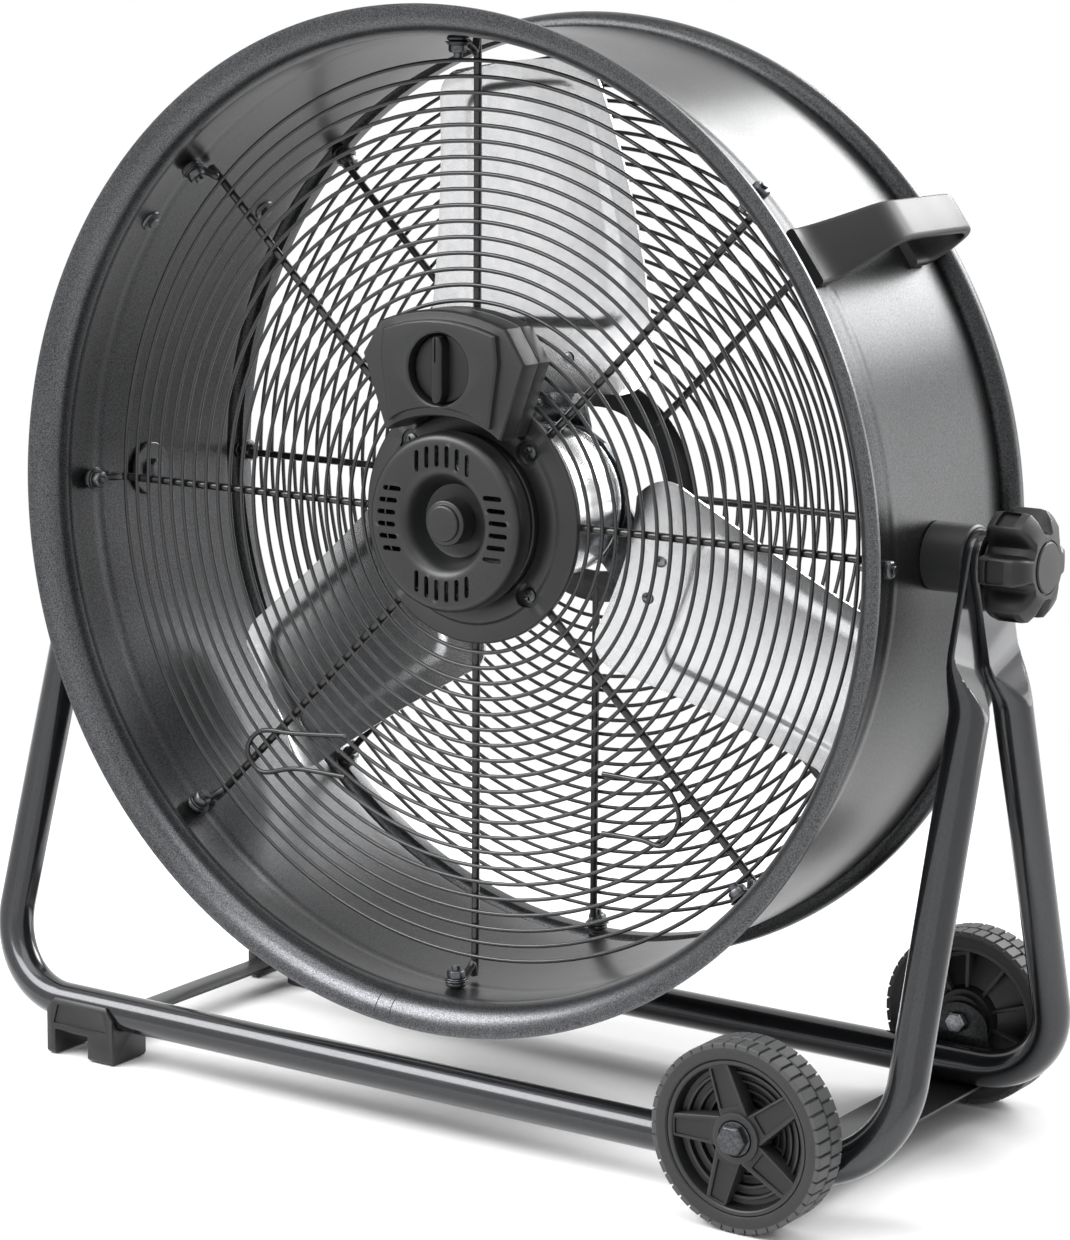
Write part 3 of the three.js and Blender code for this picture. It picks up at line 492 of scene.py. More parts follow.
def surface(name, dark, light, grain, stretch, rough, relief, settings):
    """
    A finish whose colour runs from dark to light over two sizes of noise, whose roughness
    runs between two values, and whose edges are rubbed a little brighter.
    """
    material = bpy.data.materials.new(name)
    tree = empty_nodes(material)
    fine = object_noise(tree, grain, 3.0, stretch)
    broad = object_noise(tree, 90.0, 2.0)
    share = add_node(tree, "ShaderNodeMapRange",
                     {"From Min": 0.33, "From Max": 0.67, "To Min": 0.0, "To Max": 0.8},
                     {"Value": fine})
    wide = add_node(tree, "ShaderNodeMath", {"operation": "MULTIPLY_ADD", 1: 0.25},
                    {0: broad, 2: share.outputs[0]})
    tint = add_node(tree, "ShaderNodeMix",
                    {"data_type": "RGBA", 6: srgb(dark), 7: srgb(light)}, {0: wide.outputs[0]})
    shape = add_node(tree, "ShaderNodeNewGeometry")
    edge = add_node(tree, "ShaderNodeMapRange",
                    {"From Min": 0.53, "From Max": 0.62, "To Min": 0.0, "To Max": 0.22},
                    {"Value": shape.outputs["Pointiness"]})
    worn = add_node(tree, "ShaderNodeMix", {"data_type": "RGBA", 7: srgb("8a8b8d")},
                    {0: edge.outputs[0], 6: tint.outputs[2]})
    gloss = add_node(tree, "ShaderNodeMapRange",
                     {"From Min": 0.3, "From Max": 0.7, "To Min": rough[0], "To Max": rough[1]},
                     {"Value": broad})
    bump = add_node(tree, "ShaderNodeBump",
                    {"Strength": relief[0], "Distance": relief[1] * MM}, {"Height": fine})
    shader = add_node(tree, "ShaderNodeBsdfPrincipled", settings, {
        "Base Color": worn.outputs[2], "Roughness": gloss.outputs[0],
        "Normal": bump.outputs[0],
    })
    add_node(tree, "ShaderNodeOutputMaterial", {}, {"Surface": shader.outputs[0]})
    return material


EVEN = (1.0, 1.0, 1.0)

FINISHES = {
    # Charcoal powder coat baked on rolled steel: fine speckle and a soft orange peel shine.
    "drum_paint": ("charcoal powder coat", "0d0e0f", "3f4042", 1.3, EVEN, (0.29, 0.35),
                   (0.6, 0.1), {"Metallic": 0.7, "Coat Weight": 0.15, "Coat Roughness": 0.25}),
    # The rolled lip, in the same charcoal powder coat as the drum with a little more metal shine; its
    # lighter colour is a painted highlight for the light that the lip catches.
    "lip_paint_painted_highlight": ("powder coat with painted lip highlight", "252628", "68696c", 0.9, EVEN, (0.27, 0.33),
                  (0.4, 0.07), {"Metallic": 0.85, "Coat Weight": 0.2, "Coat Roughness": 0.2}),
    # Black coat over drawn wire: thin, smooth and half glossy, with sharp lights along the wire.
    "guard_wire": ("black dipped steel wire", "0c0c0d", "19191a", 3.0, EVEN, (0.24, 0.34),
                   (0.08, 0.04), {"Coat Weight": 0.2, "Coat Roughness": 0.12}),
    # Gunmetal stove enamel on bent tube: deep gloss with clear long streaks of light.
    "tube_paint": ("gunmetal enamel on tube", "1e1f22", "38393c", 0.9, EVEN, (0.2, 0.27),
                   (0.1, 0.04), {"Metallic": 0.7, "Coat Weight": 0.7, "Coat Roughness": 0.08}),
    # Black polypropylene from a spark eroded mould: fine grain and a dull sheen.
    "black_plastic": ("grained black moulding", "0a0a0b", "161617", 0.8, EVEN, (0.38, 0.48),
                      (0.3, 0.06), {"IOR": 1.49}),
    # Charcoal nylon with a satin mould finish, a little lighter than the black parts.
    "grey_plastic": ("satin charcoal moulding", "161617", "242526", 0.8, EVEN, (0.36, 0.44),
                     (0.22, 0.05), {"IOR": 1.53}),
    # Cold rolled aluminium sheet: bright, with the faint cloudiness of the rolls.
    "bright_aluminium": ("rolled aluminium sheet", "dedfe1", "ececed", 6.0, EVEN,
                         (0.22, 0.28), (0.02, 0.02), {"Metallic": 1.0}),
    # Zinc electroplate on steel: grey white, slightly cloudy, half bright.
    "zinc_steel": ("zinc plated steel", "77797c", "a5a7aa", 2.0, EVEN, (0.26, 0.36),
                   (0.1, 0.04), {"Metallic": 1.0}),
    # Zinc plate passivated black: the same fixings, but smoky and half dull.
    "dark_steel": ("black passivated steel", "38393b", "5a5c5f", 1.6, EVEN, (0.28, 0.4),
                   (0.1, 0.04), {"Metallic": 0.85}),
    # Enamelled copper wire of the windings: warm brown metal under varnish.
    "copper_wire": ("varnished copper winding", "8a4526", "b86a3a", 1.0, (1.0, 6.0, 1.0),
                    (0.25, 0.35), (0.6, 0.3), {"Metallic": 1.0}),
    # Moulded tyre rubber: matt black with a dusty grain.
    "tyre_rubber": ("moulded tyre rubber", "0b0b0b", "171717", 1.3, EVEN, (0.55, 0.68),
                    (0.35, 0.08), {"IOR": 1.52}),
}


def finish_for(slot_name):
    """The material of a slot, made the first time that it is asked for."""
    name = FINISHES[slot_name][0].replace(" ", "_")
    return bpy.data.materials.get(name) or surface(name, *FINISHES[slot_name][1:])


def home_of(node):
    """The body that a node of the solid model belongs to."""
    return frame["nodes"][node]["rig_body"]


def fit(piece, slot_name, body, *nodes, finish=None):
    """Gives a piece its finish, its body and the solids that it stands for."""
    piece.data.materials.clear()
    piece.data.materials.append(finish_for(finish or slot_name))
    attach(piece, body)
    if nodes:
        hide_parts(*nodes)
    return piece


# ------------------------------------------------------------------ the drum

def sheet_profile(line, thick):
    """A closed outline of even thickness about a line of (radius, y) points."""
    outer, inner = [], []
    for i, point in enumerate(line):
        before, after = line[max(i - 1, 0)], line[min(i + 1, len(line) - 1)]
        along = Vector((after[0] - before[0], after[1] - before[1])).normalized()
        side = Vector((along.y, -along.x)) * thick / 2
        outer.append((point[0] + side.x, point[1] + side.y))
        inner.append((point[0] - side.x, point[1] - side.y))
    return outer + inner[::-1]


def drum_line(flare, groove, swage):
    """The middle of the sheet from the front lip over the rear bead to the skirt."""
    middle = WALL_OUTER - WALL / 2
    line = arc(LIP_RADIUS - WALL / 2, DRUM_FRONT + WALL / 2 + flare, flare, 270, 180, LIP_STEPS)
    line += [(middle, GROOVE_Y - 1.6), (middle - groove, GROOVE_Y), (middle, GROOVE_Y + 1.6)]
    for i in range(9):
        share = i / 8
        rise = swage * math.sin(math.pi * share) ** 2
        line.append((middle + rise, SWAGE_Y - 7 + 14 * share))
    line += [(middle, y) for y in (-20.0, 20.0, 60.0, BEAD_Y - BEAD_HALF - 2)]
    for i in range(17):
        angle = math.pi * i / 16
        line.append((middle + (BEAD_HEIGHT - 1) * math.sin(angle),
                     BEAD_Y - BEAD_HALF * math.cos(angle)))
    line += [(middle, BEAD_Y + BEAD_HALF + 2), (middle, DRUM_REAR - 0.2)]
    return line


def build_drum(settings):
    """The rolled wall and, as a skin of its own, the lip that it ends in, coloured lighter as a painted
    highlight.
    """
    line = drum_line(FLARE, settings.groove, settings.swage)
    profile = sheet_profile(line[LIP_STEPS:], WALL)
    shell = turned("drum_skin", profile, settings.sides, sharp=50.0)
    edge = sheet_profile(line[:LIP_STEPS + 1], WALL)
    lip = turned("drum_lip", edge, settings.sides, sharp=50.0)
    # The lip keeps the drum's coat, but in a lighter colour that is painted highlight.
    fit(lip, "drum_paint", "drum", finish="lip_paint_painted_highlight")
    face = min(edge[:LIP_STEPS + 1], edge[:LIP_STEPS:-1], key=lambda row: row[LIP_STEPS // 2])
    seams = [sweep([(r * math.sin(a), y, -r * math.cos(a)) for r, y in face[1:-1]],
                   SEAM_RADIUS, 6) for a in (math.radians(d) for d in SEAM_ANGLES)]
    weld = new_piece("drum_weld", *merged(*seams), centre=PIVOT)
    fit(weld, "drum_paint", "drum")
    return fit(shell, "drum_paint", "drum", "drum_shell")


# ------------------------------------------------------------------ guards and hooks

def rod_path(rod_y, eye_y):
    """A rod: straight across the guard, then cranked along the drum to its eye."""
    ahead = 1.0 if eye_y > rod_y else -1.0
    reach = abs(eye_y - rod_y)
    return smooth_path([
        (0, rod_y, ROD_START), (0, rod_y, ROD_BEND - 12),
        (0, rod_y + ahead * 0.15 * reach, ROD_BEND - 1),
        (0, eye_y - ahead * max(6.5, 0.55 * reach), ROD_BEND + 4),
        (0, eye_y - ahead * (EYE_RING + 0.2), EYE_SEAT - 0.6),
    ], 6)


def eye_loop(eye_y):
    """The bent eye at the end of a rod, lying flat against the wall."""
    rows = []
    for a in round_angles(20):
        middle = Vector((EYE_RING * math.sin(a), eye_y + EYE_RING * math.cos(a), EYE_SEAT))
        out = Vector((math.sin(a), math.cos(a), 0.0))
        rows.append([middle + out * EYE_WIRE * math.cos(b) + Vector((0, 0, EYE_WIRE * math.sin(b)))
                     for b in round_angles(8)])
    return grid(rows, wrap_rows=True)


def hex_nut(centre, radius, low, high, sides=6):
    """A nut or bolt head standing along Z, with its corners turned off at the top."""
    rows = []
    for z, r in ((low, radius), (high - 0.22 * radius, radius), (high, 0.86 * radius)):
        rows.append([(centre[0] + r * math.cos(a), centre[1] + r * math.sin(a), z)
                     for a in round_angles(sides, 0.5)])
    return grid(rows)


def along_z(x, y, radius, low, high, sides=20):
    """A plain round bar or washer standing along Z."""
    return moved(stacked([(low, radius), (high, radius)], sides, Matrix.Identity(3)), (x, y, 0))


def guard_fixing(eye_y):
    """Stud, nut and two wide washers that clamp one eye, with the dome nut outside."""
    return merged(
        along_z(0, eye_y, 3.0, 303.5, 319.5, 12),
        along_z(0, eye_y, 8.4, 313.2, 314.1),
        along_z(0, eye_y, 7.2, 312.0, 313.2),
        mirrored(hex_nut((0, eye_y), 6.4, -311.8, -306.8), 2),
        hex_nut((0, eye_y), 6.2, 321.0, 325.2),
        along_z(0, eye_y, 2.6, 325.0, 327.2, 12),
    )


def build_guard(name, settings, rod_y, eye_y, side, node):
    """One wire guard: rings by the ring tree, rods and their eyes by the repeat tree."""
    wire = finish_for("guard_wire")
    holder = new_piece(name, [(0, 0, 0), (1, 0, 0), (0, 0, 1)], [(0, 1, 2)])
    run_tree(holder, ring_tree, "guard_rings", {
        "Rings": settings.rings, "First radius": RING_FIRST * MM, "Pitch": RING_PITCH * MM,
        "Wire radius": settings.wire, "Material": wire,
        "Place": (PIVOT + Vector((0, rod_y + side * (ROD_RADIUS + 1.1), 0))) * MM,
    })
    tidy_normals(holder.data, 50.0)
    fit(holder, "guard_wire", "drum", node)
    spoke = new_piece(name + "_rods", *merged(sweep(rod_path(rod_y, eye_y), ROD_RADIUS, 12),
                                              eye_loop(eye_y)), sharp=50.0)
    repeated(spoke, GUARD_RODS, wire, 360 / GUARD_RODS, centre=PIVOT, sharp=50.0)
    fit(spoke, "guard_wire", "drum")
    edge = [(58, rod_y - 1.2), (80, rod_y - 1.2), (80, rod_y + 1.2), (58, rod_y + 1.2)]
    hub = turned(name + "_hub_ring", edge, 96, bevel=0.5)
    fit(hub, "guard_wire", "drum")
    fixing = new_piece(name + "_fixings", *guard_fixing(eye_y), bevel=0.3, segments=1)
    repeated(fixing, GUARD_RODS, finish_for("dark_steel"), 360 / GUARD_RODS, centre=PIVOT)
    return fit(fixing, "zinc_steel", "drum", finish="dark_steel")


def build_hook(name, side, closed_x, open_x, upper_z, lower_z, rise, node):
    """A bent wire loop, open to the middle, for winding up the cord."""
    y = HOOK_Y
    bow = 12 * side
    middle = (upper_z + lower_z) / 2
    route = [
        (open_x, y, upper_z + rise), ((open_x + closed_x) / 2, y, upper_z + rise / 3),
        (closed_x - bow, y, upper_z), (closed_x, y, middle), (closed_x - bow, y, lower_z),
        ((open_x + closed_x) / 2, y, lower_z + rise), (open_x, y, lower_z + rise),
    ]
    wire = new_piece(name, *sweep(smooth_path(route, 10), 1.7, 12), centre=PIVOT, sharp=60.0)
    return fit(wire, "guard_wire", "drum", node)


# ------------------------------------------------------------------ handles

HANDLE_ROUTE = (
    (323.5, -70, 40), (323.8, -62, 40), (327, -52, 39), (335, -40, 36), (347, -24, 32),
    (354, -13, 30), (357, -2, 28.5), (357.5, 12, 28), (357.5, 64, 28), (356.8, 75, 28),
    (353, 83, 28.5), (346, 86.5, 29), (337, 84.5, 31), (329.5, 79, 33), (324.8, 72, 34),
    (323.5, 64, 34), (323.5, 55, 34),
)


def rounded_box(half_wide, half_high, corner, steps=3):
    """A rounded rectangle of (a, b) points."""
    points = []
    for quarter, (sa, sb) in enumerate(((1, 1), (-1, 1), (-1, -1), (1, -1))):
        for i in range(steps + 1):
            angle = math.radians(90 * quarter + 90 * i / steps)
            points.append((sa * (half_wide - corner) + corner * math.cos(angle),
                           sb * (half_high - corner) + corner * math.sin(angle)))
    return points


def build_handle(name, angle, node):
    """A bowed grip from a foot at the front to a foot at the back of the drum."""
    out = Vector((math.cos(math.radians(angle)), 0, math.sin(math.radians(angle))))
    across = Vector((-out.z, 0, out.x))
    line = smooth_path([Vector((r, y, w)) for r, y, w in HANDLE_ROUTE], 6)
    rows = []
    for i, point in enumerate(line):
        ahead = line[min(i + 1, len(line) - 1)] - line[max(i - 1, 0)]
        along = Vector((ahead.x, ahead.y)).normalized()
        radial, back = along.y, -along.x
        centre = out * point.x + Vector((0, point.y, 0))
        rows.append([
            centre + across * a + (out * radial + Vector((0, back, 0))) * b
            for a, b in rounded_box(point.z / 2, 3.5, 2.9, 4)
        ])
    grip = new_piece(name, *grid(rows), centre=PIVOT, sharp=50.0)
    feet = []
    spin = out.to_track_quat("Z", "Y").to_matrix()
    for y in (-64, 62):
        dish = stacked([(318.8, 8.0), (317.6, 7.2), (316.8, 4.6)], 24, spin)
        head = stacked([(317.0, 4.4), (315.2, 4.4), (314.6, 3.8)], 6, spin)
        feet += [moved(dish, (0, y, 0)), moved(head, (0, y, 0))]
    bolts = new_piece(name + "_bolts", *merged(*feet), centre=PIVOT)
    fit(bolts, "zinc_steel", "drum", finish="dark_steel")
    return fit(grip, "black_plastic", "drum", node)


# ------------------------------------------------------------------ motor

def slot_cutters():
    """Four groups of round ended slots that pierce the front of the motor cover."""
    shapes = []
    for quarter in range(4):
        for i in range(SLOTS):
            x = (i - (SLOTS - 1) / 2) * SLOT_PITCH
            z = math.sqrt(SLOT_CIRCLE ** 2 - x ** 2)
            ends = []
            for way in (1, -1):
                ends += [(x + way * SLOT_HALF_WIDTH * math.cos(a),
                          z + way * (SLOT_REACH + SLOT_HALF_WIDTH * math.sin(a)))
                         for a in (math.pi * k / 6 for k in range(7))]
            shapes.append(moved(prism(ends, -90, -60), turn=90 * quarter))
    return new_piece("slot_cutters", *merged(*shapes), centre=PIVOT)


def build_motor_cover():
    """The dished front cover with its rolled rim and four groups of slots."""
    line = [
        (8, -64.5), (22, -64.5), (24.5, -65.2), (27.0, -68.5), (29.0, -73.5), (31.0, -77.6),
        (33.2, -80.2), (35.4, -81.5), (38.0, -82), (53, -82),
    ]
    line += [(54 + 6 * math.sin(a), -76 - 6 * math.cos(a))
             for a in (math.radians(15 * k) for k in range(1, 7))]
    line += [(60, -66.5), (57.5, -66.5), (57.5, -75.5), (53.5, -79.5), (40, -79.5),
             (35, -79), (31.5, -74), (27.5, -64.5), (24, -62.6), (8, -62.6)]
    cover = turned("motor_cover", line, 128, sharp=28.0)
    carve(cover, slot_cutters(), 28.0)
    return fit(cover, "grey_plastic", "drum", "motor_front_cover")


def build_motor_details():
    """The cap in the cover, the collar behind it, the casing and its rear bell."""
    cap = [(0, -82), (11.0, -82), (12.2, -81), (12.4, -79.2), (14.4, -79.0), (15.3, -78.0),
           (15.3, -64.8), (0, -64.8)]
    nub = turned("motor_cap", cap, 64, bevel=0.5)
    fit(nub, "grey_plastic", "drum", "motor_end_cap")
    collar = [(50, -66.2), (57, -66.2), (57, -61), (55.8, -60), (55.8, -58), (57, -57),
              (57, -49.2), (60.8, -48.7), (60.8, -46), (50, -46)]
    band = turned("motor_band", collar, 96, bevel=0.4)
    fit(band, "black_plastic", "drum", "motor_collar")
    can = [(14.2, -44.2), (51.5, -44.2), (53, -42.7), (53, -14), (52.2, -12), (52.2, 22),
           (53, 24), (53, 52), (50.5, 52), (50.5, -41.7), (14.2, -41.7)]
    casing = turned("motor_can", can, 96, bevel=0.8)
    fit(casing, "bright_aluminium", "drum", "motor_casing")
    lid = [(14.3, 50), (18, 50), (20, 52.3), (53, 52.3), (53, 54.6), (51, 56.3), (22, 56.3),
           (19, 57.5), (14.3, 57.5)]
    bell = turned("motor_lid", lid, 96, bevel=0.5)
    return fit(bell, "bright_aluminium", "drum", "motor_rear_bell")


def cross_screw(face_y):
    """A low domed screw head, facing forward, before its cross is cut."""
    return lathe([(0, face_y - 2.2), (3.0, face_y - 2.2), (5.0, face_y - 1.2),
                  (5.4, face_y + 0.5), (0, face_y + 0.5)], 28)


def build_plate():
    """The round mounting plate with its raised ring and four screws sunk in wells."""
    line = [(61, -49.6), (57.5, -50.2), (57.5, -53), (69, -53), (70.5, -52.4), (72, -50.2),
            (73, -49.6), (83.5, -49.6), (85, -48.4), (85, -44.5), (61, -44.5)]
    disc = turned("motor_plate", line, 160, bevel=0.4)
    wells, heads, crosses = [], [], []
    for sx, sz in ((1, 1), (-1, 1), (1, -1), (-1, -1)):
        spot = (SCREW_OFFSET * sx, 0, SCREW_OFFSET * sz)
        well = [(0, -60), (8.5, -60), (8.2, SCREW_FLOOR), (0, SCREW_FLOOR)]
        wells.append(moved(lathe(well, 40), spot))
        heads.append(moved(cross_screw(SCREW_FLOOR), spot))
        for turn in (25, 115):
            slit = prism([(-3.4, -0.7), (3.4, -0.7), (3.4, 0.7), (-3.4, 0.7)], -52, -49.3)
            crosses.append(moved(slit, spot, turn))
    carve(disc, new_piece("wells", *merged(*wells), centre=PIVOT))
    fit(disc, "grey_plastic", "drum", "mounting_plate")
    screws = new_piece("motor_screws", *merged(*heads), centre=PIVOT, bevel=0.2)
    carve(screws, new_piece("crosses", *merged(*crosses), centre=PIVOT))
    return fit(screws, "zinc_steel", "drum", finish="dark_steel")


# ------------------------------------------------------------------ control box

def box_outline(bottom_half, bottom_z, arch_z, wide_half, wide_z, top_half, corner_z, top_z):
    """Front view outline of the box: an arched foot, leaning sides and a bowed top."""
    steps = 10
    foot = [(bottom_half * math.sin(a), arch_z + (bottom_z - arch_z)
             * (1 - math.cos(a)) / (1 - math.cos(math.radians(60))))
            for a in (math.radians(-60 + 120 * i / steps) for i in range(steps + 1))]
    scale = bottom_half / foot[-1][0]
    foot = [(x * scale, z) for x, z in foot]
    top = [(top_half * (1 - 2 * i / steps),
            corner_z + (top_z - corner_z) * (1 - (1 - 2 * i / steps) ** 2))
           for i in range(steps + 1)]
    return foot + [(wide_half, wide_z)] + top + [(-wide_half, wide_z)]


def shrunk(outline, margin):
    """An outline moved inwards by a margin, about its middle."""
    middle = Vector((0.0, sum(z for _, z in outline) / len(outline)))
    result = []
    for x, z in outline:
        away = Vector((x, z)) - middle
        result.append(tuple(middle + away * (1 - margin / away.length)))
    return result


def outline_rows(rows):
    """Front view outlines, each placed at its own depth."""
    return [[(x, y, z) for x, z in outline] for outline, y in rows]


def build_control_box():
    """The two halves of the box as one shell, with a dial well and ribbed sides."""
    whole = box_outline(46, 58.5, 71, 64.5, 109, 50, 131.5, 141)
    face = box_outline(40, 66, 77, 46.5, 109, 44.5, 127, 135)
    rows = [(shrunk(whole, 1.2), -49.9), (whole, -51.5), (whole, -63.4), (shrunk(whole, 1.0), -63.6),
            (shrunk(whole, 1.0), -64.4), (whole, -64.6), (whole, -80.0), (shrunk(whole, 1.4), -82.0),
            ([(x * 1.02, z) for x, z in face], -82.3), (face, -85.6), (shrunk(face, 1.6), -87.0)]
    shell = new_piece("control_box", *grid(outline_rows(rows)), centre=PIVOT, sharp=24.0,
                      bevel=0.5)
    well = lathe([(0, -90), (25.2, -90), (25.2, -87.01), (24, -86), (23.9, -76), (0, -76)], 96)
    carve(shell, new_piece("dial_well", *moved(well, (0, 0, DIAL_Z)), centre=PIVOT), 24.0)
    ribs = []
    for side in (-1, 1):
        for i in range(4):
            z = 74 + 7.6 * i
            x = 46 + (z - 71) * 18.5 / 38
            ribs.append(prism([(side * (x - 3.0), z - 1.5), (side * (x + 0.9), z - 1.1),
                               (side * (x + 1.7), z + 1.5), (side * (x - 3.0), z + 1.5)],
                              -78.5, -66.0))
    strips = new_piece("control_box_ribs", *merged(*ribs), centre=PIVOT, bevel=0.4)
    fit(strips, "grey_plastic", "drum")
    return fit(shell, "grey_plastic", "drum", "control_box_front", "control_box_back")


def build_dial():
    """The speed dial: a skirt sunk in its well and a wedge grip with a pointer groove."""
    disc = lathe([(0, -76.6), (23.2, -76.6), (23.2, -79.4), (21.8, -80.8), (0, -80.8)], 96)
    rows = []
    for z, half in ((-22, 2.2), (-20.5, 3.8), (-16, 5.4), (16, 5.4), (20.5, 3.8), (22, 2.2)):
        rows.append([(-half, -80, z), (half, -80, z), (half * 0.8, -88.2, z * 0.99),
                     (half * 0.5, -89.4, z * 0.975), (-half * 0.5, -89.4, z * 0.975),
                     (-half * 0.8, -88.2, z * 0.99)])
    centre = PIVOT + Vector((0, 0, DIAL_Z))
    knob = new_piece("speed_dial", *merged(disc, grid(rows)), centre=centre, bevel=0.5, sharp=28.0)
    groove = prism([(-0.8, 5), (0.8, 5), (0.8, 24), (-0.8, 24)], -92, -88.6)
    carve(knob, new_piece("groove", *groove, centre=centre), 28.0)
    return fit(knob, "black_plastic", "dial", "speed_knob")


def build_gland():
    """The ribbed cord grommet on the leaning side of the box."""
    low, high = node_box("cord_gland")
    centre = (low + high) / 2
    lean = Vector((-38, 0, 18.5)).normalized()
    spin = lean.to_track_quat("Z", "Y").to_matrix()
    ribs = [(-5.5, 4.6), (-1.5, 4.6), (-1.5, 7.3), (0.4, 7.3), (0.8, 5.4), (1.8, 5.4),
            (2.0, 4.6), (2.8, 4.6), (3.0, 5.2), (4.0, 5.2), (4.2, 4.4), (5.2, 4.2)]
    grommet = new_piece("cord_grommet", *stacked(ribs, 32, spin), centre=centre)
    return fit(grommet, "black_plastic", "drum", "cord_gland")


# ------------------------------------------------------------------ blades

def curve(terms, u):
    """The value of a blade's edge curve at a share of its length."""
    return terms[0] + terms[1] * u + terms[2] * u * u


def blade_trim(distance, corner):
    """How much a rounded corner takes off the width at a distance from the blade's end."""
    reach = max(corner - distance, 0.0)
    return corner - math.sqrt(max(corner * corner - reach * reach, 0.0))


def blade_point(r, share, lift=0.0):
    """A point of the twisted blade at a radius and a share of its width from the front edge."""
    u = (BLADE_TIP - r) / BLADE_LENGTH
    trim = blade_trim(BLADE_TIP - r, TIP_CORNER) + blade_trim(r - BLADE_ROOT, ROOT_CORNER)
    front = curve(FRONT_EDGE_REACH, u) - trim
    rear = curve(REAR_EDGE_REACH, u) - trim
    front_y = curve(FRONT_EDGE_Y, u)
    rear_y = curve(REAR_EDGE_Y, u)
    t = front - share * (front + rear)
    y = front_y + (rear_y - front_y) * share + 4 * BLADE_CAMBER * share * (1 - share)
    fall = r - math.sqrt(max(r * r - t * t, 1.0))
    x = r - fall * (r - BLADE_ROOT) / (BLADE_TIP - BLADE_ROOT)
    return Vector((x, y + lift, t))


def panel_height(r, share, height):
    """How far the embossed panel stands forward at a point of the blade."""
    across = PANEL_HALF_WIDTH - abs(share - 0.5) * 2 * PANEL_HALF_WIDTH - PANEL_MARGIN
    along = min(r - PANEL_FROM, PANEL_TO - r)
    a, b = PANEL_CORNER - across, PANEL_CORNER - along
    depth = PANEL_CORNER - math.hypot(a, b) if a > 0 and b > 0 else min(across, along)
    return height * ease((depth + PANEL_SLOPE / 2) / PANEL_SLOPE)


def blade_radii():
    """Radii of the rows of a blade, closer together at the round corners of its ends."""
    root = [BLADE_ROOT + 0.5 + 6 * k / 5 for k in range(5)]
    middle = [80 + 211 * k / 96 for k in range(97)]
    return root + middle + [BLADE_TIP - 9 * (1 - k / 8) ** 2 for k in range(1, 9)]


def build_blades(settings):
    """Three twisted sheets with a pressed panel, and the rivets that hold them."""
    shares = [k / 44 for k in range(45)]
    for i, angle in enumerate(BLADE_ANGLES):
        turn = Matrix.Rotation(-math.radians(angle), 3, "Y")
        rows = []
        for r in blade_radii():
            rise = {share: panel_height(r, share, settings.panel) for share in shares}
            front = [turn @ blade_point(r, share, -rise[share]) for share in shares]
            back = [turn @ blade_point(r, share, BLADE_THICK - rise[share])
                    for share in reversed(shares)]
            rows.append(front + back)
        sheet = new_piece(f"blade_sheet_{i + 1}", *grid(rows), centre=PIVOT, sharp=50.0)
        fit(sheet, "bright_aluminium", "rotor", f"blade_{i + 1}")
    dome = lathe([(0, -2.6), (2.6, -2.1), (4.2, -0.9), (4.6, 0.6), (0, 0.6)], 16)
    pair = merged(*(moved(dome, blade_point(*spot)) for spot in RIVET_SPOTS))
    rivet = new_piece("blade_rivets", *moved(pair, turn=BLADE_ANGLES[0]))
    repeated(rivet, len(BLADE_ANGLES), finish_for("zinc_steel"), 120, centre=PIVOT)
    return fit(rivet, "zinc_steel", "rotor")


# ------------------------------------------------------------------ pivots and clamp knobs

def about_x(sections, side, sides=48):
    """A turned part about the X axis from (x, radius) pairs, on one side of the fan."""
    spin = Matrix(((0, 0, side), (0, 1, 0), (-side, 0, 0)))
    return stacked(sections, sides, spin)


def build_pivot(name, side):
    """The spacer sleeve, the inner washer and the clamp bolt of one side."""
    sleeve = about_x([(320.6, 20.8), (321.4, 22.0), (348.8, 22.0), (349.9, 20.8)], side, 64)
    spacer = new_piece("sleeve_" + name, *sleeve, centre=PIVOT, sharp=24.0)
    fit(spacer, "black_plastic", "drum", "pivot_spacer_" + name)
    washer = about_x([(314.7, 18.2), (315.4, 19.0), (317.2, 19.0), (318.9, 17.0)], side)
    disc = new_piece("inner_washer_" + name, *washer, centre=PIVOT)
    fit(disc, "zinc_steel", "drum", "pivot_plate_" + name, finish="drum_paint")
    head = about_x([(309.4, 6.2), (310.4, 7.4), (314.6, 7.4)], side, 6)
    shank = about_x([(314.0, 5.0), (386.0, 5.0)], side, 24)
    bolt = new_piece("clamp_bolt_" + name, *merged(head, shank), centre=PIVOT, bevel=0.25)
    return fit(bolt, "zinc_steel", home_of("pivot_bolt_" + name), "pivot_bolt_" + name,
               finish="dark_steel")


def lobe_radius(angle, lobes, crest, valley):
    """The outline of the knob: broad round lobes with a deep scallop between each two."""
    pitch = 2 * math.pi / lobes
    off = abs((angle + pitch / 2) % pitch - pitch / 2) / pitch
    return crest - (crest - valley) * ease((off - 0.2) / 0.2)


def lobed_rows(layers, side, lobes, count):
    """The sections of a lobed knob, one for each (x, crest, valley) layer."""
    return [[(side * x, lobe_radius(a, lobes, crest, valley) * math.cos(a),
              lobe_radius(a, lobes, crest, valley) * math.sin(a))
             for a in round_angles(count)] for x, crest, valley in layers]


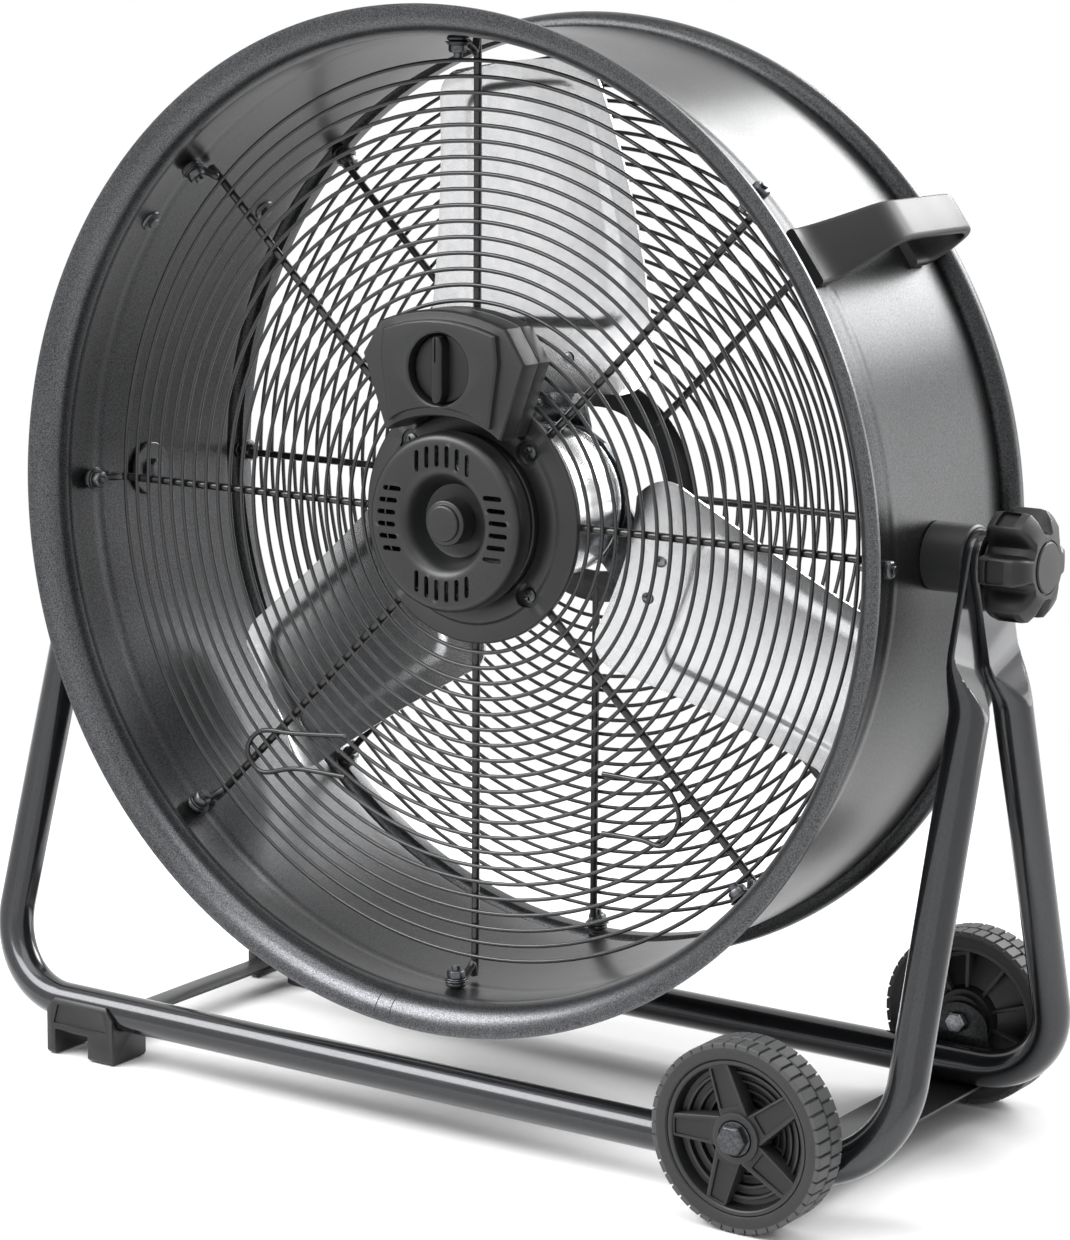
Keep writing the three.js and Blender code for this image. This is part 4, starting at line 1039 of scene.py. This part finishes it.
def build_knob(name, side):
    """A six lobed clamp knob with sunk pads on its lobes and a round cap in its face."""
    layers = ((364.5, 20.0, 18.0), (366.2, 31.0, 20.8), (368.0, 35.0, 21.6), (371.0, 36.0, 22.0),
              (387.0, 36.0, 22.4), (391.0, 35.2, 22.2), (395.0, 30.6, 21.4), (398.4, 22.0, 19.8))
    body = grid(lobed_rows(layers, side, 6, 240))
    neck = about_x([(360.8, 14.2), (361.6, 15.0), (367.0, 15.0)], side, 64)
    knob = new_piece("knob_" + name, *merged(body, neck), centre=PIVOT, sharp=34.0)
    cutters = [about_x([(397.4, 17.2), (400.0, 17.2)], side, 64)]
    for lobe in range(6):
        turn = Matrix.Rotation(math.radians(60 * lobe + 30), 3, "X")
        pad = [(373.0, -6.2), (374.5, -7.4), (384.5, -7.0), (386.0, -5.8), (386.0, 5.8),
               (384.5, 7.0), (374.5, 7.4), (373.0, 6.2)]
        verts, faces = grid([[(side * x, y, z) for x, y in pad] for z in (33.3, 38.0)])
        cutters.append(([turn @ Vector(v) for v in verts], faces))
    carve(knob, new_piece("pads_" + name, *merged(*cutters), centre=PIVOT), 34.0)
    cap = about_x([(397.0, 16.0), (398.9, 16.0), (399.5, 15.2), (399.5, 0.2)], side, 64)
    disc = new_piece("knob_cap_" + name, *cap, centre=PIVOT)
    fit(disc, "black_plastic", "clamp_" + name)
    return fit(knob, "black_plastic", "clamp_" + name, "clamp_knob_" + name)


# ------------------------------------------------------------------ stand

def tube_rows(side, paddle_x):
    """The sections of one bent tube: flat ends at the pivots and round everywhere else."""
    rise = PIVOT.z - TUBE_Z
    along = Vector((0, -side * TUBE_Y, rise)).normalized()
    across = Vector((0, along.z, -along.y))
    top = math.hypot(TUBE_Y, rise)
    rows = []

    def place(x, s, flat, half, ax, step):
        out = Vector((ax, 0, 0)) + along * step
        centre = Vector((x, side * TUBE_Y, TUBE_Z)) + along * s
        loop = []
        limit = TUBE_RADIUS + (PADDLE_THICK / 2 - TUBE_RADIUS) * flat
        for angle in round_angles(TUBE_SIDES, 0.5):
            c, n = math.cos(angle), math.sin(angle)
            a = min(max(TUBE_RADIUS * c, -limit), limit)
            b = (1 - flat) * TUBE_RADIUS * n + flat * half * n
            loop.append(centre + out * a + across * b)
        rows.append(loop)

    def upright(end):
        steps = [(end * paddle_x, top + PADDLE_HALF * math.sin(math.radians(d)), 1.0,
                  PADDLE_HALF * math.cos(math.radians(d))) for d in range(86, -1, -7)]
        steps += [(end * paddle_x, top - s, 1.0, PADDLE_HALF) for s in (20, 45, PADDLE_LENGTH)]
        for t in (i / 12 for i in range(1, 12)):
            steps.append((end * (paddle_x + (TUBE_X - paddle_x) * ease(t)),
                          top - PADDLE_LENGTH - PADDLE_TAPER * t, 1 - ease(t), PADDLE_HALF))
        steps += [(end * TUBE_X, top - s, 0.0, PADDLE_HALF) for s in (100, 150, 220, 290)]
        return steps

    def bend(end, start, stop):
        centre_x = TUBE_X - TUBE_BEND
        for i in range(BEND_STEPS + 1):
            angle = math.radians(start + (stop - start) * i / BEND_STEPS)
            place(end * (centre_x + TUBE_BEND * math.cos(angle)),
                  TUBE_BEND + TUBE_BEND * math.sin(angle), 0, 0,
                  -end * math.cos(angle), -math.sin(angle))

    for row in upright(-1):
        place(*row, 1, 0)
    bend(-1, 0, -90)
    bend(1, -90, 0)
    for row in reversed(upright(1)):
        place(*row, -1, 0)
    return rows


def build_tube(name, side, paddle_x, node):
    """One bent tube of the stand as a single skin."""
    pipe = new_piece(name, *grid(tube_rows(side, paddle_x)), sharp=26.0)
    return fit(pipe, "tube_paint", "stand", node)


def build_foot(name, side, node):
    """A moulded foot hooked under the tube: a saddle with ribs and a strap passage."""
    clear = TUBE_RADIUS + 0.3
    outline = [(98, 0), (131, 0), (133, 2), (133, 38), (131.5, 41), (TUBE_Y + clear, 41)]
    outline += [(TUBE_Y + clear * math.cos(a), TUBE_Z + clear * math.sin(a))
                for a in (math.radians(-10 * k) for k in range(1, 16))]
    outline += [(100, 28), (96, 20), (96, 2)]
    rows = [[(x, y, z) for y, z in outline] for x in FOOT_X]
    foot = new_piece(name, *grid(rows), sharp=40.0)
    passage = [(-298.5, -1), (-268.5, -1), (-268.5, 18.2), (-298.5, 18.2)]
    cutters = [prism(passage, 90, 136)]
    panel = [(-300, 22.5), (-252, 22.5), (-256, 36.5), (-296, 36.5)]
    cutters.append(prism(panel, 131.2, 134))
    for edge, inner in ((FOOT_X[0] - 0.5, -298.5), (FOOT_X[1] + 0.5, -253.5)):
        cutters.append(prism([(edge, 32.0), (inner, 42.0), (edge, 42.0)], 90, 136))
    carve(foot, new_piece("passage", *merged(*cutters)), 40.0)
    round_edges(foot, 0.7, 2, 40)
    if side < 0:
        foot.data.transform(Matrix.Scale(-1, 4, (0, 1, 0)))
        foot.data.flip_normals()
    tidy_normals(foot.data, 40.0)
    return fit(foot, "black_plastic", "stand", node)


def build_stand_steel():
    """The flat strap between the feet and the folded bracket that carries the axle ears."""
    strip = prism([(-294.5, 15.4), (-272.5, 15.4), (-272.5, 17.9), (-294.5, 17.9)],
                  -STRAP_HALF_LENGTH, STRAP_HALF_LENGTH)
    strap = new_piece("steel_strap", *strip, bevel=0.6)
    fit(strap, "drum_paint", "stand", "cross_strap")
    base = prism([(257, 19.8), (302, 19.8), (302, 22.0), (257, 22.0)],
                 -BRACKET_HALF_LENGTH, BRACKET_HALF_LENGTH)
    ear = [(257, 19.8), (302, 19.8), (302, 40)]
    ear += [(279 + 21 * math.cos(a), 56 + 17 * math.sin(a))
            for a in (math.radians(d) for d in range(0, 181, 12))]
    ear += [(257, 40)]
    plates = [prism(ear, y - EAR_HALF_THICK, y + EAR_HALF_THICK) for y in (-EAR_Y, EAR_Y)]
    bracket = new_piece("steel_bracket", *merged(base, *plates), bevel=0.5)
    return fit(bracket, "drum_paint", "stand", "axle_bracket")


# ------------------------------------------------------------------ wheels

def tread_block(side, row):
    """One rubber block: a bar across half the tread with a bevelled crown."""
    low, high = TREAD_ROWS[row]
    half = TREAD_HALF_ANGLE
    rows = []
    for r, h, y_a, y_b in ((56.6, half, low, high), (59.2, half, low, high),
                           (59.9, half * 0.88, low + 0.5, high - 0.5)):
        rows.append([(r * math.sin(t), side * y, r * math.cos(t))
                     for t, y in ((-h, y_a), (h, y_a), (h, y_b), (-h, y_b))])
    return grid(rows)


def spoke_shape(side):
    """A broad flat spoke set off from the centre, with a sunk panel and a raised lip."""
    face = SPOKE_FACE
    plan = [(-7.6, 12.0), (11.5, 12.0), (7.2, 47.2), (-7.2, 47.2)]
    inner = [(-5.6, 19.0), (7.2, 19.0), (4.6, 44.2), (-5.4, 44.2)]
    back = [[(x, side * 152.0, z) for x, z in plan], [(x, side * (face - 0.8), z) for x, z in plan],
            [(x * 0.96, side * face, z) for x, z in plan],
            [(x, side * face, z) for x, z in inner],
            [(x * 0.97, side * (face - 2.0), z) for x, z in inner]]
    return grid(back)


def build_wheel(name, side, body):
    """A wheel: tyre, tread blocks, stepped disc, boss, five spokes and the webs behind."""
    rubber = finish_for("tyre_rubber")
    black = finish_for("black_plastic")

    def ring(part, line, sides, **options):
        return turned(name + part, [(r, side * y) for r, y in line], sides, AXLE, **options)

    tyre_line = [(49.2, 139.5), (50, 138.4), (55.5, 138.0), (57.9, 138.8), (58.1, 151.4),
                 (57.2, 151.8), (57.2, 152.2), (58.1, 152.6), (57.9, 165.2), (55.5, 166.0),
                 (50, 165.6), (49.2, 164.5)]
    fit(ring("_tyre_skin", tyre_line, 128), "tyre_rubber", body, name + "_tyre")
    for row in (0, 1):
        block = new_piece(f"{name}_tread_{row + 1}", *moved(tread_block(side, row),
                                                            turn=row * 180 / TREAD_BLOCKS),
                          sharp=30.0)
        repeated(block, TREAD_BLOCKS, rubber, 360 / TREAD_BLOCKS, centre=AXLE)
        fit(block, "tyre_rubber", body)
    rim_line = [(12.0, 134.0), (16.5, 134.0), (16.5, 146.0), (20, 146.2), (20.6, 149.4),
                (22.2, 149.6), (22.8, 148.2), (26, 148.6), (26.6, 152.0), (28.2, 152.2),
                (28.8, 150.8), (32, 151.2), (32.6, 154.6), (34.2, 154.8), (34.8, 153.4),
                (38, 153.8), (38.6, 157.2), (40.2, 157.4), (40.8, 156.0), (43.6, 156.4),
                (44.6, 161.5), (45.6, 164.0), (46.4, 164.6), (48.4, 164.6), (49.0, 163.8),
                (49.0, 140.0),
                (46.5, 139.6), (45.5, 141.0), (43.0, 153.0), (22.0, 144.5), (20.0, 138.0),
                (12.0, 138.0)]
    fit(ring("_rim_skin", rim_line, 128, sharp=28.0), "black_plastic", body, name + "_rim")
    boss_line = [(11.0, 150.0), (17.6, 150.0), (17.0, 160.0), (15.8, 165.2), (14.8, 165.6),
                 (11.8, 165.6), (11.0, 164.8)]
    fit(ring("_boss", boss_line, 64, sharp=28.0), "black_plastic", body)
    spoke = new_piece(name + "_spokes", *moved(spoke_shape(side), turn=SPOKE_TURN), bevel=0.5,
                      sharp=28.0)
    repeated(spoke, SPOKES, black, 360 / SPOKES, centre=AXLE)
    fit(spoke, "black_plastic", body)
    web = prism([(-1.3, 19.0), (1.3, 19.0), (1.3, 47.0), (-1.3, 47.0)],
                *sorted((side * 141.0, side * 150.0)))
    webs = new_piece(name + "_webs", *web, bevel=0.3)
    repeated(webs, WEBS, black, 360 / WEBS, centre=AXLE)
    return fit(webs, "black_plastic", body)


def build_axle(name, side):
    """The dark hexagon head in the wheel's boss and the nut behind the bracket ear."""
    spin = Matrix(((1, 0, 0), (0, 0, side), (0, -side, 0)))
    head = stacked([(165.8, 10.2), (170.6, 10.2), (172.2, 9.0)], 6, spin)
    washer = stacked([(165.0, 10.8), (165.9, 10.8)], 40, spin)
    shank = stacked([(124.0, 4.2), (166.0, 4.2)], 24, spin)
    bolt = new_piece("axle_" + name, *merged(head, washer, shank), centre=AXLE, bevel=0.35)
    fit(bolt, "zinc_steel", home_of("axle_bolt_" + name), "axle_bolt_" + name,
        finish="dark_steel")
    nut = stacked([(123.4, 6.8), (124.4, 7.5), (129.0, 7.5), (129.9, 6.8)], 6, spin)
    hexagon = new_piece("axle_hexagon_" + name, *nut, centre=AXLE, bevel=0.3)
    return fit(hexagon, "zinc_steel", home_of("axle_nut_" + name), "axle_nut_" + name)


# ------------------------------------------------------------------ inner parts and the stage

HIDDEN = {
    "zinc_steel": ("bearing_front", "bearing_rear", "stator_core", "motor_shaft", "rotor_core",
                   "hub_spider"),
    "copper_wire": ("winding_front", "winding_rear"),
    "black_plastic": ("speed_switch", "capacitor"),
}


def finish_inner_parts():
    """Gives the parts inside the motor and box their real materials."""
    for slot_name, nodes in HIDDEN.items():
        for node in nodes:
            solid = frame["nodes"][node]
            solid.data.materials.clear()
            solid.data.materials.append(finish_for(slot_name))


def paper_material():
    """Matt white card under the object, with the faintest fibre in it."""
    material = bpy.data.materials.new("matt_white_card")
    tree = empty_nodes(material)
    fibre = object_noise(tree, 14.0, 4.0)
    tint = add_node(tree, "ShaderNodeMix",
                    {"data_type": "RGBA", 6: srgb("f4f4f4"), 7: srgb("fafafa")}, {0: fibre})
    shader = add_node(tree, "ShaderNodeBsdfPrincipled", {"Roughness": 0.9},
                      {"Base Color": tint.outputs[2]})
    place = add_node(tree, "ShaderNodeTexCoord")
    reach = add_node(tree, "ShaderNodeVectorMath", {"operation": "LENGTH"},
                     {0: place.outputs["Object"]})
    rim = add_node(tree, "ShaderNodeMapRange",
                   {"interpolation_type": "SMOOTHSTEP", "From Min": 0.4, "From Max": 1.2},
                   {"Value": reach.outputs["Value"]})
    clear = add_node(tree, "ShaderNodeBsdfTransparent")
    mix = add_node(tree, "ShaderNodeMixShader", {},
                   {0: rim.outputs[0], 1: shader.outputs[0], 2: clear.outputs[0]})
    add_node(tree, "ShaderNodeOutputMaterial", {}, {"Surface": mix.outputs[0]})
    return material


def build_floor():
    """A round card under the object whose rim thins out into the white surround."""
    rings = [0.0, 600.0, 900.0, 1200.0, 1500.0, 1800.0, 2200.0]
    rows = [[(max(r, 1.0) * math.cos(a), max(r, 1.0) * math.sin(a), -0.5 - 0.001 * r)
             for a in round_angles(96)] for r in rings]
    floor = new_piece("studio_floor", *grid(rows, caps=False))
    floor.data.materials.append(paper_material())
    return floor


LIGHT_TARGET = (0.0, 0.0, 0.4)
# Each softbox: place, width and height in metres, and its share of the key power.
SOFTBOXES = {
    "camera_box": ((0.9, -3.5, 0.9), 4.0, 2.2, 0.16),
    "front_left_box": ((-1.6, -1.7, 2.2), 2.4, 1.5, 1.7),
    "right_back_box": ((2.3, 3.0, 0.4), 2.0, 1.4, 0.34),
    "top_back_box": ((0.9, 2.7, 1.9), 2.8, 1.2, 1.8),
    "top_box": ((0.2, -0.8, 3.2), 2.4, 2.0, 0.5),
}


def build_light(name, place, width, height, power):
    """A softbox that faces the middle of the fan."""
    lamp = bpy.data.lights.new(name, "AREA")
    lamp.shape = "RECTANGLE"
    lamp.size = width
    lamp.size_y = height
    lamp.energy = power
    holder = bpy.data.objects.new(name, lamp)
    bpy.context.collection.objects.link(holder)
    holder.location = place
    aim = Vector(LIGHT_TARGET) - Vector(place)
    holder.rotation_euler = aim.to_track_quat("-Z", "Y").to_euler()
    return holder


def build_world(level):
    """A soft grey surround that lights the object, seen as white directly and in metal."""
    world = bpy.data.worlds.new("studio_world")
    bpy.context.scene.world = world
    tree = empty_nodes(world)
    place = add_node(tree, "ShaderNodeTexCoord")
    parts = add_node(tree, "ShaderNodeSeparateXYZ", {}, {0: place.outputs["Generated"]})
    height = add_node(tree, "ShaderNodeMapRange",
                      {"From Min": 0.1, "From Max": 0.75, "To Min": 0.14 * level,
                       "To Max": level}, {"Value": parts.outputs["Z"]})
    path = add_node(tree, "ShaderNodeLightPath")
    clear = add_node(tree, "ShaderNodeMath", {"operation": "MAXIMUM"},
                     {0: path.outputs["Is Camera Ray"], 1: path.outputs["Is Transmission Ray"]})
    seen = add_node(tree, "ShaderNodeMath", {"operation": "MAXIMUM"},
                    {0: clear.outputs[0], 1: path.outputs["Is Glossy Ray"]})
    soft = add_node(tree, "ShaderNodeBackground", {"Color": (1, 1, 1, 1)},
                    {"Strength": height.outputs[0]})
    white = add_node(tree, "ShaderNodeBackground", {"Color": (1, 1, 1, 1), "Strength": 1.0})
    mix = add_node(tree, "ShaderNodeMixShader", {},
                   {0: seen.outputs[0], 1: soft.outputs[0], 2: white.outputs[0]})
    add_node(tree, "ShaderNodeOutputWorld", {}, {"Surface": mix.outputs[0]})


# Where the photograph was taken from, solved from its circles and the stand.
CAMERA_PLACE = Vector((1.3512, -1.9855, 0.7834))
CAMERA_RIGHT = Vector((0.82606939, 0.56355163, 0.00435015))
CAMERA_UP = Vector((-0.09200464, 0.12723949, 0.9875957))
CAMERA_BACK = Vector((0.55600765, -0.81622281, 0.15695802))
CAMERA_SHIFT = (0.0201, -0.0899)
FRAME_WIDTH = 36.0


def build_camera(lens):
    """The camera of the photograph."""
    lens_data = bpy.data.cameras.new("photo_camera")
    lens_data.lens = lens
    lens_data.sensor_width = FRAME_WIDTH
    lens_data.shift_x, lens_data.shift_y = CAMERA_SHIFT
    camera = bpy.data.objects.new("photo_camera", lens_data)
    bpy.context.collection.objects.link(camera)
    turn = Matrix((CAMERA_RIGHT, CAMERA_UP, CAMERA_BACK)).transposed().to_4x4()
    camera.matrix_world = Matrix.Translation(CAMERA_PLACE) @ turn
    bpy.context.scene.camera = camera
    return camera


# ------------------------------------------------------------------ settings and operators

class FanDrumSettings(bpy.types.PropertyGroup):
    """Sizes of the drum and its guards."""

    sides: bpy.props.IntProperty(name="Drum sides", description="Facets round the drum",
                                 default=256, min=32, max=512)
    groove: bpy.props.FloatProperty(name="Groove", default=0.5, min=0.0, max=3.0,
                                    description="Depth in mm of the seam groove behind the lip")
    swage: bpy.props.FloatProperty(name="Swage", default=0.45, min=0.0, max=3.0,
                                   description="Height in mm of the rolled stiffening swell")
    rings: bpy.props.IntProperty(name="Guard rings", description="Round wires in each guard",
                                 default=21, min=2, max=21)
    wire: bpy.props.FloatProperty(name="Wire radius", description="Radius of the round wires",
                                  default=0.0014, min=0.0005, max=0.003, precision=4,
                                  subtype="DISTANCE", unit="LENGTH")
    panel: bpy.props.FloatProperty(name="Blade panel", default=2.2, min=0.0, max=5.0,
                                   description="Height in mm of the pressed panel of a blade")


class FanStageSettings(bpy.types.PropertyGroup):
    """Lens and light of the stage."""

    lens: bpy.props.FloatProperty(name="Lens", description="Focal length on a 36 mm frame",
                                  default=104.57, min=20.0, max=300.0, subtype="DISTANCE_CAMERA")
    key: bpy.props.FloatProperty(name="Key light", description="Power of the main soft light",
                                 default=60.0, min=0.0, max=500.0, subtype="POWER")
    surround: bpy.props.FloatProperty(name="Surround", default=0.9, min=0.0, max=3.0,
                                      description="Level of the even light from all round")


class FanOperator(bpy.types.Operator):
    """Common part of the build steps."""

    bl_options = {"REGISTER", "UNDO"}

    def build(self, context):
        raise NotImplementedError

    def execute(self, context):
        self.build(context)
        bpy.context.view_layer.update()
        return {"FINISHED"}


class FAN_OT_drum(FanOperator):
    """Builds the rolled drum with its flared lip, groove, swell and rear bead."""

    bl_idname = "fan.drum"
    bl_label = "Drum"

    def build(self, context):
        build_drum(context.scene.fan_drum)


class FAN_OT_guards(FanOperator):
    """Builds both wire guards with their rods, eyes and fixings."""

    bl_idname = "fan.guards"
    bl_label = "Wire guards"

    def build(self, context):
        settings = context.scene.fan_drum
        build_guard("front_guard", settings, FRONT_ROD_Y, FRONT_EYE_Y, -1, "front_grille")
        build_guard("rear_guard", settings, REAR_ROD_Y, REAR_EYE_Y, 1, "rear_grille")


class FAN_OT_hooks(FanOperator):
    """Builds the two wire hooks for winding up the cord."""

    bl_idname = "fan.hooks"
    bl_label = "Cord hooks"

    def build(self, context):
        build_hook("hook_wire_left", -1, -190, -105, -168, -197, 6, "cord_hook_left")
        build_hook("hook_wire_right", 1, 165, 106, -161, -201, 1, "cord_hook_right")


class FAN_OT_handles(FanOperator):
    """Builds the two moulded handles."""

    bl_idname = "fan.handles"
    bl_label = "Handles"

    def build(self, context):
        build_handle("grip_right", HANDLE_ANGLE, "handle_right")
        build_handle("grip_left", 180 - HANDLE_ANGLE, "handle_left")


class FAN_OT_motor(FanOperator):
    """Builds the motor with its slotted cover, collar and fixing plate."""

    bl_idname = "fan.motor"
    bl_label = "Motor"

    def build(self, context):
        build_motor_cover()
        build_motor_details()
        build_plate()


class FAN_OT_controls(FanOperator):
    """Builds the control box, its dial and the cord grommet."""

    bl_idname = "fan.controls"
    bl_label = "Controls"

    def build(self, context):
        build_control_box()
        build_dial()
        build_gland()


class FAN_OT_blades(FanOperator):
    """Builds the three pressed blades and their rivets."""

    bl_idname = "fan.blades"
    bl_label = "Blades"

    def build(self, context):
        build_blades(context.scene.fan_drum)


class FAN_OT_pivots(FanOperator):
    """Builds the pivots and the clamp knobs."""

    bl_idname = "fan.pivots"
    bl_label = "Pivots and knobs"

    def build(self, context):
        for name, side in (("right", 1), ("left", -1)):
            build_pivot(name, side)
            build_knob(name, side)


class FAN_OT_stand(FanOperator):
    """Builds the two bent tubes, the feet, the strap and the axle bracket."""

    bl_idname = "fan.stand"
    bl_label = "Stand"

    def build(self, context):
        build_tube("tube_front", -1, FRONT_PADDLE_X, "front_tube")
        build_tube("tube_rear", 1, REAR_PADDLE_X, "rear_tube")
        build_foot("foot_moulding_front", -1, "foot_front")
        build_foot("foot_moulding_rear", 1, "foot_rear")
        build_stand_steel()


class FAN_OT_wheels(FanOperator):
    """Builds the two wheels, their tyres and axle bolts."""

    bl_idname = "fan.wheels"
    bl_label = "Wheels"

    def build(self, context):
        for name, side in (("front", -1), ("rear", 1)):
            build_wheel("wheel_" + name, side, "wheel_" + name)
            build_axle(name, side)


class FAN_OT_inside(FanOperator):
    """Gives the parts inside the motor and the box their materials."""

    bl_idname = "fan.inside"
    bl_label = "Inner parts"

    def build(self, context):
        finish_inner_parts()


class FAN_OT_stage(FanOperator):
    """Sets up the floor, the soft lights, the surround and the camera."""

    bl_idname = "fan.stage"
    bl_label = "Stage"

    def build(self, context):
        settings = context.scene.fan_stage
        build_floor()
        for name, (place, width, height, share) in SOFTBOXES.items():
            build_light(name, place, width, height, settings.key * share)
        build_world(settings.surround)
        build_camera(settings.lens)
        context.scene.view_settings.view_transform = "Standard"


STEPS = (
    FAN_OT_drum, FAN_OT_guards, FAN_OT_hooks, FAN_OT_handles, FAN_OT_motor, FAN_OT_controls,
    FAN_OT_blades, FAN_OT_pivots, FAN_OT_stand, FAN_OT_wheels, FAN_OT_inside, FAN_OT_stage,
)


class FAN_PT_panel(bpy.types.Panel):
    """Sidebar list of the build steps and their settings."""

    bl_label = "Drum Fan"
    bl_idname = "FAN_PT_panel"
    bl_space_type = "VIEW_3D"
    bl_region_type = "UI"
    bl_category = "Drum Fan"

    def draw(self, context):
        layout = self.layout
        for group in (context.scene.fan_drum, context.scene.fan_stage):
            column = layout.column(align=True)
            for name in group.bl_rna.properties.keys():
                if name not in ("rna_type", "name"):
                    column.prop(group, name)
        for step in STEPS:
            layout.operator(step.bl_idname)


CLASSES = (FanDrumSettings, FanStageSettings, *STEPS, FAN_PT_panel)


def register():
    for item in CLASSES:
        bpy.utils.register_class(item)
    bpy.types.Scene.fan_drum = bpy.props.PointerProperty(type=FanDrumSettings)
    bpy.types.Scene.fan_stage = bpy.props.PointerProperty(type=FanStageSettings)


def unregister():
    del bpy.types.Scene.fan_stage
    del bpy.types.Scene.fan_drum
    for item in reversed(CLASSES):
        bpy.utils.unregister_class(item)


def main():
    register()
    for step in STEPS:
        area, action = step.bl_idname.split(".")
        getattr(getattr(bpy.ops, area), action)()


if __name__ == "__main__":
    main()
